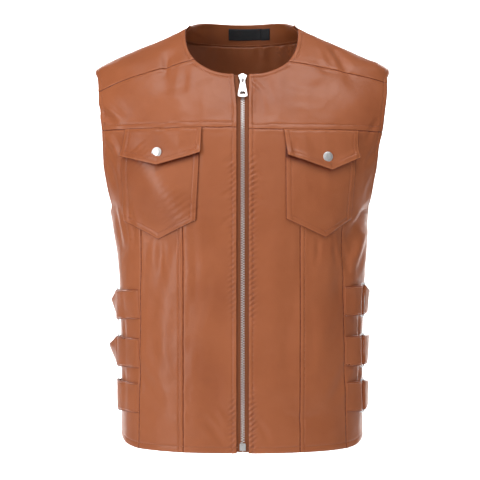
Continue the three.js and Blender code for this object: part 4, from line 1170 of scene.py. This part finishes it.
# Half of the back. Its first edge climbs the side seam and then the armhole, its last the centre
# line and then the neck, and the shoulder's ridge is its top.
def back_grid(sign, u, v):
    seam_share, centre_share = 11 / 26, 21 / 26
    seam_angle = sign * (math.radians(SIDE_SEAM_DEG) + SEAM / 240)

    def ridge_at(t):
        return ridge(sign, SEAM / 2, np.float64(t))

    def crown(t):
        line = back_crown(sign)(np.maximum(t, 1e-9))
        line[t <= 0] = [sign * math.pi, BACK_NECK_RISE]
        return line
    low = place_hem(np.array([seam_angle]))[0, 1]
    turn_top = armhole_turn(ridge_at(1.0)[1])
    centre_low = place_hem(np.array([math.pi]))[0, 1]
    centre_top = crown(np.array([0.0]))[0, 1]

    def first(t):
        share = np.minimum(1, t / seam_share)
        seam = places(seam_angle, lerp(low, ARMHOLE_BOTTOM, share))
        turn = lerp(math.pi - 0.02, turn_top, np.clip((t - seam_share) / (1 - seam_share), 0, 1))
        return np.where((t < seam_share)[:, None], seam, place_armhole(sign, turn, False))

    def last(t):
        s = np.minimum(1, t / centre_share)
        centre = places(sign * math.pi, lerp(centre_top, centre_low, (1 - s) ** 1.35))
        edge = crown(np.clip((t - centre_share) / (1 - centre_share), 0, 1))
        return np.where((t < centre_share)[:, None], centre, edge)
    return fill(lambda t: place_hem(lerp(seam_angle, sign * math.pi, t)),
                lambda t: np.array([ridge_at(1 - s) for s in t]), first, last, u, v)


u = shares(270, BACK_PITCH, STITCH_GAP)
v = shares(680, BACK_PITCH, HEM_ROW_RISE, STITCH_GAP)
u = u[u < 1 - 3.2 / 270]
u = np.append(u, 1.0)
halves = [back_grid(-1, u, v), back_grid(1, u, v)]
hem_back = place_hem(np.linspace(math.radians(88), 2 * math.pi - math.radians(88), 500))
rims, rows = [hem_back], [places(hem_back[:, 0], hem_back[:, 1] + HEM_ROW_RISE)]
for sign in (-1, 1):
    arm = place_armhole(sign, np.linspace(math.pi - 0.03, 0.06, 400), False)
    crown = back_crown(sign)(np.linspace(0.001, 0.995, 300))
    ridge_line = ridge(sign, SEAM / 2, np.linspace(0, 1, 400))
    seam = places(np.full(400, sign * math.radians(88.1)), np.linspace(-646, -290, 400))
    rims += [arm, crown, ridge_line, seam]
    rows += [beside(arm, -sign * STITCH_GAP),
             beside(crown[:270], sign * STITCH_GAP)[:255],
             beside(ridge_line, -sign * STITCH_GAP)[20:-20]]
lift_and_painted_shade = [worked(g, rims, rows, seed=8) for g in halves]
halves[1], lift_and_painted_shade[1] = halves[1][:, ::-1], tuple(values[:, ::-1] for values in lift_and_painted_shade[1])
obj = panel("back_panel", halves, LEATHER, 0, lift_and_painted_shade)
for row in rows:
    stitch("stitches_back", row, STITCH_LAY)


def facing_foot(angle, shift):
    turn = np.minimum(1, np.abs(np.pi - np.abs(angle)) / (np.pi / 2))
    return places(angle, lerp(*FACING_FOOT, turn) + shift)


steps_round = np.linspace(0, 1, 121)
foot = facing_foot(lerp(math.pi / 2 + RIDGE_INSET, 1.5 * math.pi - RIDGE_INSET, steps_round),
                   SEAM / 2)
top = place_neck_back(NECK_HALF_WIDTH * 0.996 * np.cos(np.pi * steps_round))
top[:, 0] = np.mod(top[:, 0], 2 * np.pi)
top[60, 0] = math.pi
down = shares(36, 2.5)[:, None, None]
facing = lerp(foot[None], places(top[:, 0], top[:, 1] - 0.5)[None], down)
seam_row = places(foot[:, 0], foot[:, 1] + 2.2)
lift = 0.25 * noise(form(facing), 9, 60) + 0.35 * noise(form(facing), 24, 61)
obj = layer_cloth("back_neck_facing_cloth", facing, FACING_LOW + lift, FACING_LOW + THIN,
                  FACING_MAT, "back_neck_facing")
stitch("stitches_inside", seam_row, FACING_LOW - 0.1)


# The angle of the lining's edge at a height: the shoulder ridge, the armhole, then the side seam
def lining_edge(z):
    arm = place_armhole(1, armhole_turn(z), False)[..., 0]
    below = z < ARMHOLE_BOTTOM
    above = z > ARMHOLE_TOP - 2
    seam = math.radians(SIDE_SEAM_DEG)
    return np.where(above, math.pi / 2 + RIDGE_INSET, np.where(below, seam, np.maximum(arm, seam)))


high = np.linspace(0, 0.15, 44)
v = np.concatenate([high[:-1], np.linspace(0.15, 1, 84)])
u = np.linspace(0, 1, 150)
edge = lining_edge(lerp(-9.0, HEM_FRONT + 16, v))
angle = lerp(edge[:, None], 2 * math.pi - edge[:, None], u[None, :])
head = lerp(-9.15, -13.15, 1 - np.clip(np.abs(math.pi - angle) / (math.pi / 2), 0, 1))
grid = places(angle, lerp(head, place_hem(math.pi - np.abs(math.pi - angle))[..., 1] + 10,
                          v[:, None]))
p = form(grid)
drop = -11 - grid[..., 1]
gathers = np.sin(p[..., 0] / 3.6 + 1.8 * noise(p * [1, 1, 0.2], 22, 70))
uneven = 0.35 + 0.65 * smooth((p[..., 0] + 12) / 36)
lift = GATHER_LIFT * uneven * gathers * np.exp(-(drop / 22) ** 2) * smooth((drop + 0.5) / 3)
lift += LINING_WAVE * noise(p * [1, 1, 0.3], 38, 71) * smooth(drop / 30)
lift = np.minimum(lift - 0.8, LINING_CEILING)
obj = layer_cloth("back_lining_cloth", grid, LINING_LOW + lift - 0.6, LINING_LOW + lift + 0.4,
                  LINING_MAT, "back_lining")

# The label and its size tab, both bare
for name, x1, x2, z1, z2 in (("neck_label", -24, 32.7, -2, 15.3),
                             ("size_tab", 33, 47, -2.6, 14.4)):
    xs, zs = np.linspace(x1, x2, 26), np.linspace(z1, z2, 10)
    grid = place_back(xs[None, :], zs[:, None])
    grid[..., 0] = np.mod(grid[..., 0], 2 * np.pi)
    wave = 0.25 * noise(form(grid), 11, 80)
    obj = layer_cloth(f"{name}_cloth", grid, LABEL_LOW - 0.2 + wave, LABEL_LOW + 0.5 + wave,
                      LABEL_MAT, name)

# The tapes meet between the teeth, and part round the slider
def tape_edge_x(z):
    part = np.clip((z - TEETH_TOP + 6) / 4, 0, 1)
    return 0.2 + (TEETH_HALF + 1.5) * part + 1.5 * np.clip((z - TEETH_TOP) / 3, 0, 1)


for side in SIDES:
    z = np.linspace(TAPE_END, TAPE_HEAD, 280)[:, None]
    x = lerp(tape_edge_x(z), edge_x(side, z) + TAPE_UNDER, np.linspace(0, 1, 8)[None, :])
    grid = place_front(side["sign"] * x, z)
    name = f"zip_tape_{side['name']}"
    obj = layer_cloth(f"{name}_cloth", grid, TAPE_LOW, TAPE_LOW + CLOTH, TAPE_MAT, name)


def bevel(obj, width, segments):
    tool = obj.modifiers.new("bevel", "BEVEL")
    tool.width = width * MM
    tool.segments = segments
    tool.limit_method = "ANGLE"
    tool.angle_limit = math.radians(35)


# The teeth: blocks along the zip's middle line, set to one side and the other in turn
corners = np.array([[a, b, c] for a in (-0.5, 0.5) for b in (-0.5, 0.5) for c in (-0.5, 0.5)])
block = [(0, 1, 3, 2), (4, 6, 7, 5), (0, 4, 5, 1), (2, 3, 7, 6), (0, 2, 6, 4), (1, 5, 7, 3)]
count = int((TEETH_TOP - BOX_TOP - 1.5) / TOOTH_PITCH)
z = BOX_TOP + 1.2 + TOOTH_PITCH * np.arange(count)
lean = np.where(np.arange(count) % 2 == 0, -1, 1)
base, normal = cloth(place_front(np.full(count, 1e-6), z), ZIP_MIDDLE)
along = unit(np.gradient(base, axis=0))
across = np.cross(normal, along)
centres = base - across * (lean * TOOTH_SHIFT)[:, None]
points = (centres[:, None, :] + corners[None, :, :1] * TOOTH[0] * across[:, None]
          + corners[None, :, 1:2] * TOOTH[1] * along[:, None]
          + corners[None, :, 2:] * TOOTH[2] * normal[:, None])
faces = (8 * np.arange(count)[:, None, None] + np.array(block)[None]).reshape(-1, 4)
mesh = new_mesh("zip_teeth_metal", (points.reshape(-1, 3) * MM).tolist(), faces.tolist(),
                [METAL_MAT], False)
bevel(new_piece("zip_teeth_metal", mesh, node="zip_teeth"), 0.3, 1)


# The solids' own hard pieces, with rounded edges
def finer(node, body, width, segments=2):
    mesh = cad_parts[node].data.copy()
    mesh.materials.clear()
    mesh.materials.append(METAL_MAT)
    mesh.polygons.foreach_set("use_smooth", np.ones(len(mesh.polygons), dtype=bool))
    obj = new_piece(f"{node}_metal", mesh, body, node)
    bevel(obj, width, segments)
    obj.modifiers.new("weights", "WEIGHTED_NORMAL").keep_sharp = True


finer("zip_slider", "vest", 0.45)
finer("zip_pull", "pull_tab", 0.4)
finer("zip_box", "vest", 0.5)
for node in [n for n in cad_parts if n.startswith("ring_")]:
    finer(node, "vest", 0.9, segments=3)


# The domed cap of a snap, from its profile of radii and heights
def snap(side):
    place = place_front(np.array([side["sign"] * side["snap"][0]]), np.array([side["snap"][1]]))
    centre, normal = cloth(place, flap_offset(side, place) + THIN + 0.25)
    centre, normal = centre[0], normal[0]
    up = unit(np.array([0, 0, 1.0]) - normal * normal[2])
    right = np.cross(up, normal)
    profile = [(0, 0), (7.4, 0), (7.7, 0.45), (7.6, 0.95), (7.1, 1.3), (6.7, 1.2), (6.3, 1.35),
               (5.6, 1.62), (4.2, 1.85), (2.4, 1.98), (1.0, 2.02), (0, 2.03)]
    turns = 48
    points = [centre]
    for r, h in profile[1:-1]:
        for k in range(turns):
            a = 2 * math.pi * k / turns
            points.append(centre + right * r * math.cos(a) + up * r * math.sin(a) + normal * h)
    points.append(centre + normal * profile[-1][1])
    faces = [(0, 1 + (k + 1) % turns, 1 + k) for k in range(turns)]
    for ring in range(len(profile) - 3):
        for k in range(turns):
            a, b = 1 + ring * turns + k, 1 + ring * turns + (k + 1) % turns
            faces.append((a, b, b + turns, a + turns))
    last = 1 + (len(profile) - 3) * turns
    faces += [(len(points) - 1, last + k, last + (k + 1) % turns) for k in range(turns)]
    node = f"snap_{side['name']}"
    mesh = new_mesh(f"{node}_metal", [tuple(p * MM) for p in points], faces, [METAL_MAT])
    new_piece(f"{node}_metal", mesh, node=node)


for side in SIDES:
    snap(side)

# Side adjusters, on the paths of the solids


def side_run(z):
    turns = np.linspace(-1.2, 1.35, 205)
    p = form(places(math.pi / 2 + turns, z))
    runs = np.concatenate([[0], np.cumsum(np.linalg.norm(np.diff(p, axis=0), axis=1))])
    zero = np.interp(0, turns, runs)
    return turns, runs - zero


# A path of runs, offsets and shares of the tail, with its corners rounded
def rounded(path, count=None):
    path = np.array(path, float)
    steps = np.linalg.norm(np.diff(path[:, :2], axis=0), axis=1)
    run = np.concatenate([[0], np.cumsum(steps)])
    at = np.linspace(0, run[-1], count or int(run[-1] / STRAP["pitch"]))
    out = np.stack([np.interp(at, run, path[:, k]) for k in range(3)], axis=-1)
    for _ in range(3):
        out[1:-1] = (out[:-2] + 2 * out[1:-1] + out[2:]) / 4
    return out


def strap_cloth(name, sign, z, path_at, z_at, seed):
    turns, runs = side_run(z)
    level = shares(2 * STRAP["half_height"], 4.6, 3.0, 3.0) * 2 - 1
    inner, outer, shade = [], [], []
    count = len(rounded(path_at(0.0)))
    for share in level:
        path = rounded(path_at(share), count)
        along = unit(np.gradient(path[:, :2], axis=0))
        rim = (1 - abs(share)) * STRAP["half_height"]
        groove = 0.3 * math.exp(-((rim - 3.0) / 0.8) ** 2)
        thick = STRAP["thickness"] * (0.45 + 0.55 * float(smooth(rim / 1.2))) - groove
        for half, out in ((-0.5, inner), (0.5, outer)):
            run = path[:, 0] - along[:, 1] * half * thick
            offset = path[:, 1] + along[:, 0] * half * thick
            height = z_at(share, path[:, 0], path[:, 2])
            place = places(sign * (math.pi / 2 + np.interp(run, runs, turns)), height)
            wave = 0.22 * noise(form(place), 10, seed)
            out.append(cloth(place, offset + wave)[0])
        # Painted shade along the strap's top and bottom edges
        shade.append(np.full(count, 1 - 0.55 * math.exp(-(rim / 0.9) ** 2)))
    obj = shell(f"{name}_cloth", [(np.array(inner), np.array(outer))], LEATHER_MAT, node=name,
                shades=[np.array(shade)])


def half_turn(run, way):
    t = np.linspace(0, 1, 13)
    return [(run + way * STRAP["turn"] * math.sin(math.pi * s),
             RING["offset"] + STRAP["turn"] * math.cos(math.pi * s), 0) for s in t]


def adjuster(number, name, sign, z, ring_run, seam_drop, stand, lean, droop, taper, tail):
    turns, runs = side_run(z)
    bar_run = RING["half_width"] - RING["bar"] / 2
    front_bar, back_bar = ring_run - bar_run, ring_run + bar_run
    seam_turn = abs(place_front(side_seam_x(z) + 2, z)[0]) - math.pi / 2
    seam_run = float(np.interp(seam_turn, turns, runs))
    lay = STRAP["layer"]

    def tab_path(share):
        return [(seam_run, 1.6, 0), (seam_run + 3, 2.2, 0), (seam_run + 7, lay, 0),
                (front_bar - STRAP["tab_lift"], lay, 0), (front_bar - 19, 4.7, 0),
                (front_bar - 11, 6.6, 0), (front_bar - 4, 8.2, 0), *half_turn(front_bar, 1),
                (front_bar - 8, lay, 0), (front_bar - STRAP["tab_under"], lay, 0)]

    def tab_z(share, run, away):
        down = np.clip((front_bar - run) / (front_bar - seam_run), 0, 1)
        return z + share * STRAP["half_height"] - seam_drop * down
    strap_cloth(f"tab_{name}", sign, z, tab_path, tab_z, 90 + number)

    def strap_path(share):
        off = RING["offset"] + STRAP["turn"]
        out = stand * (1 + lean * share)
        return [(STRAP["back_run"], lay, 0), (16, lay, 0), *half_turn(back_bar, -1)[::-1],
                (back_bar + 6, off + 0.22 * out, 0.35),
                (back_bar + 0.6 * tail, off + 0.58 * out, 0.7), (back_bar + tail, off + out, 1)]

    def strap_z(share, run, away):
        return z - droop * away + share * (STRAP["half_height"] - taper * away)
    strap_cloth(f"strap_{name}", sign, z, strap_path, strap_z, 100 + number)

    # The seam that holds the tab, in two rows
    heights = np.linspace(z - 21, z + 21, 60) - seam_drop
    for run, offset in ((2.5, 2.1), (7.5, 2.6)):
        turn = np.interp(seam_run + run, runs, turns)
        stitch("stitches_side", places(np.full(60, sign * (math.pi / 2 + turn)), heights), offset)


for number, row in enumerate(ADJUSTERS):
    adjuster(number, *row)

make_stitches()


# Floor, backdrop, light and camera
def plain_material(name, colour):
    mat, _, shader = nodes_of(name)
    shader.inputs["Base Color"].default_value = (*colour, 1)
    shader.inputs["Roughness"].default_value = 0.9
    return mat


def backdrop():
    floor_z, depth, bend = -1.15, 3.2, 0.8
    profile = [(-4.0, floor_z), (depth - bend, floor_z)]
    for k in range(1, 13):
        a = math.pi / 2 * k / 12
        profile.append((depth - bend + bend * math.sin(a), floor_z + bend - bend * math.cos(a)))
    profile.append((depth, 5.0))
    points = [(x, y, z) for y, z in profile for x in (-6.0, 6.0)]
    faces = [(2 * k, 2 * k + 1, 2 * k + 3, 2 * k + 2) for k in range(len(profile) - 1)]
    paper = plain_material("pale_paper", (0.90, 0.90, 0.90))
    new_object("backdrop", new_mesh("backdrop", points, faces, [paper]))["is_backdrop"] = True


backdrop()


def area_light(name, place, target, size, power):
    data = bpy.data.lights.new(name, "AREA")
    data.shape = "RECTANGLE"
    data.size, data.size_y = size
    data.energy = power
    obj = new_object(name, data)
    obj.visible_camera = False
    obj.location = place
    aim = np.array(target) - np.array(place)
    yaw = math.atan2(aim[1], aim[0]) - math.pi / 2
    pitch = math.atan2(aim[2], math.hypot(aim[0], aim[1]))
    obj.rotation_euler = (math.pi / 2 + pitch, 0, yaw)


area_light("key", (-1.5, -1.65, 0.1), (0, 0, -0.35), (0.45, 1.9), 19.3)
area_light("fill", (1.8, -1.9, 0.6), (0, 0, -0.33), (1.2, 1.6), 1.5)
area_light("top", (0.15, -0.9, 1.5), (0, 0, -0.2), (1.6, 0.7), 16.5)
area_light("front", (0.3, -2.6, 0.5), (0, 0, -0.33), (1.6, 1.6), 5)
area_light("paper_left", (-1.7, 2.0, 1.0), (0, 3.2, -0.5), (0.8, 1.6), 90)
area_light("paper_right", (1.7, 2.0, 1.0), (0, 3.2, -0.5), (0.8, 1.6), 90)

world = bpy.data.worlds.new("studio")
world.use_nodes = True
world.node_tree.nodes["Background"].inputs["Color"].default_value = (1, 1, 1, 1)
world.node_tree.nodes["Background"].inputs["Strength"].default_value = WORLD_STRENGTH
bpy.context.scene.world = world
bpy.context.scene.view_settings.view_transform = "Standard"

camera_data = bpy.data.cameras.new("camera")
camera_data.sensor_width = SENSOR_WIDTH
camera_data.lens = SENSOR_WIDTH * FOCAL_PIXELS / PICTURE_PIXELS
camera = new_object("camera", camera_data)
camera.location = CAMERA_PLACE
camera.rotation_euler = (math.pi / 2, 0, 0)
bpy.context.scene.camera = camera

low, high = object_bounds()
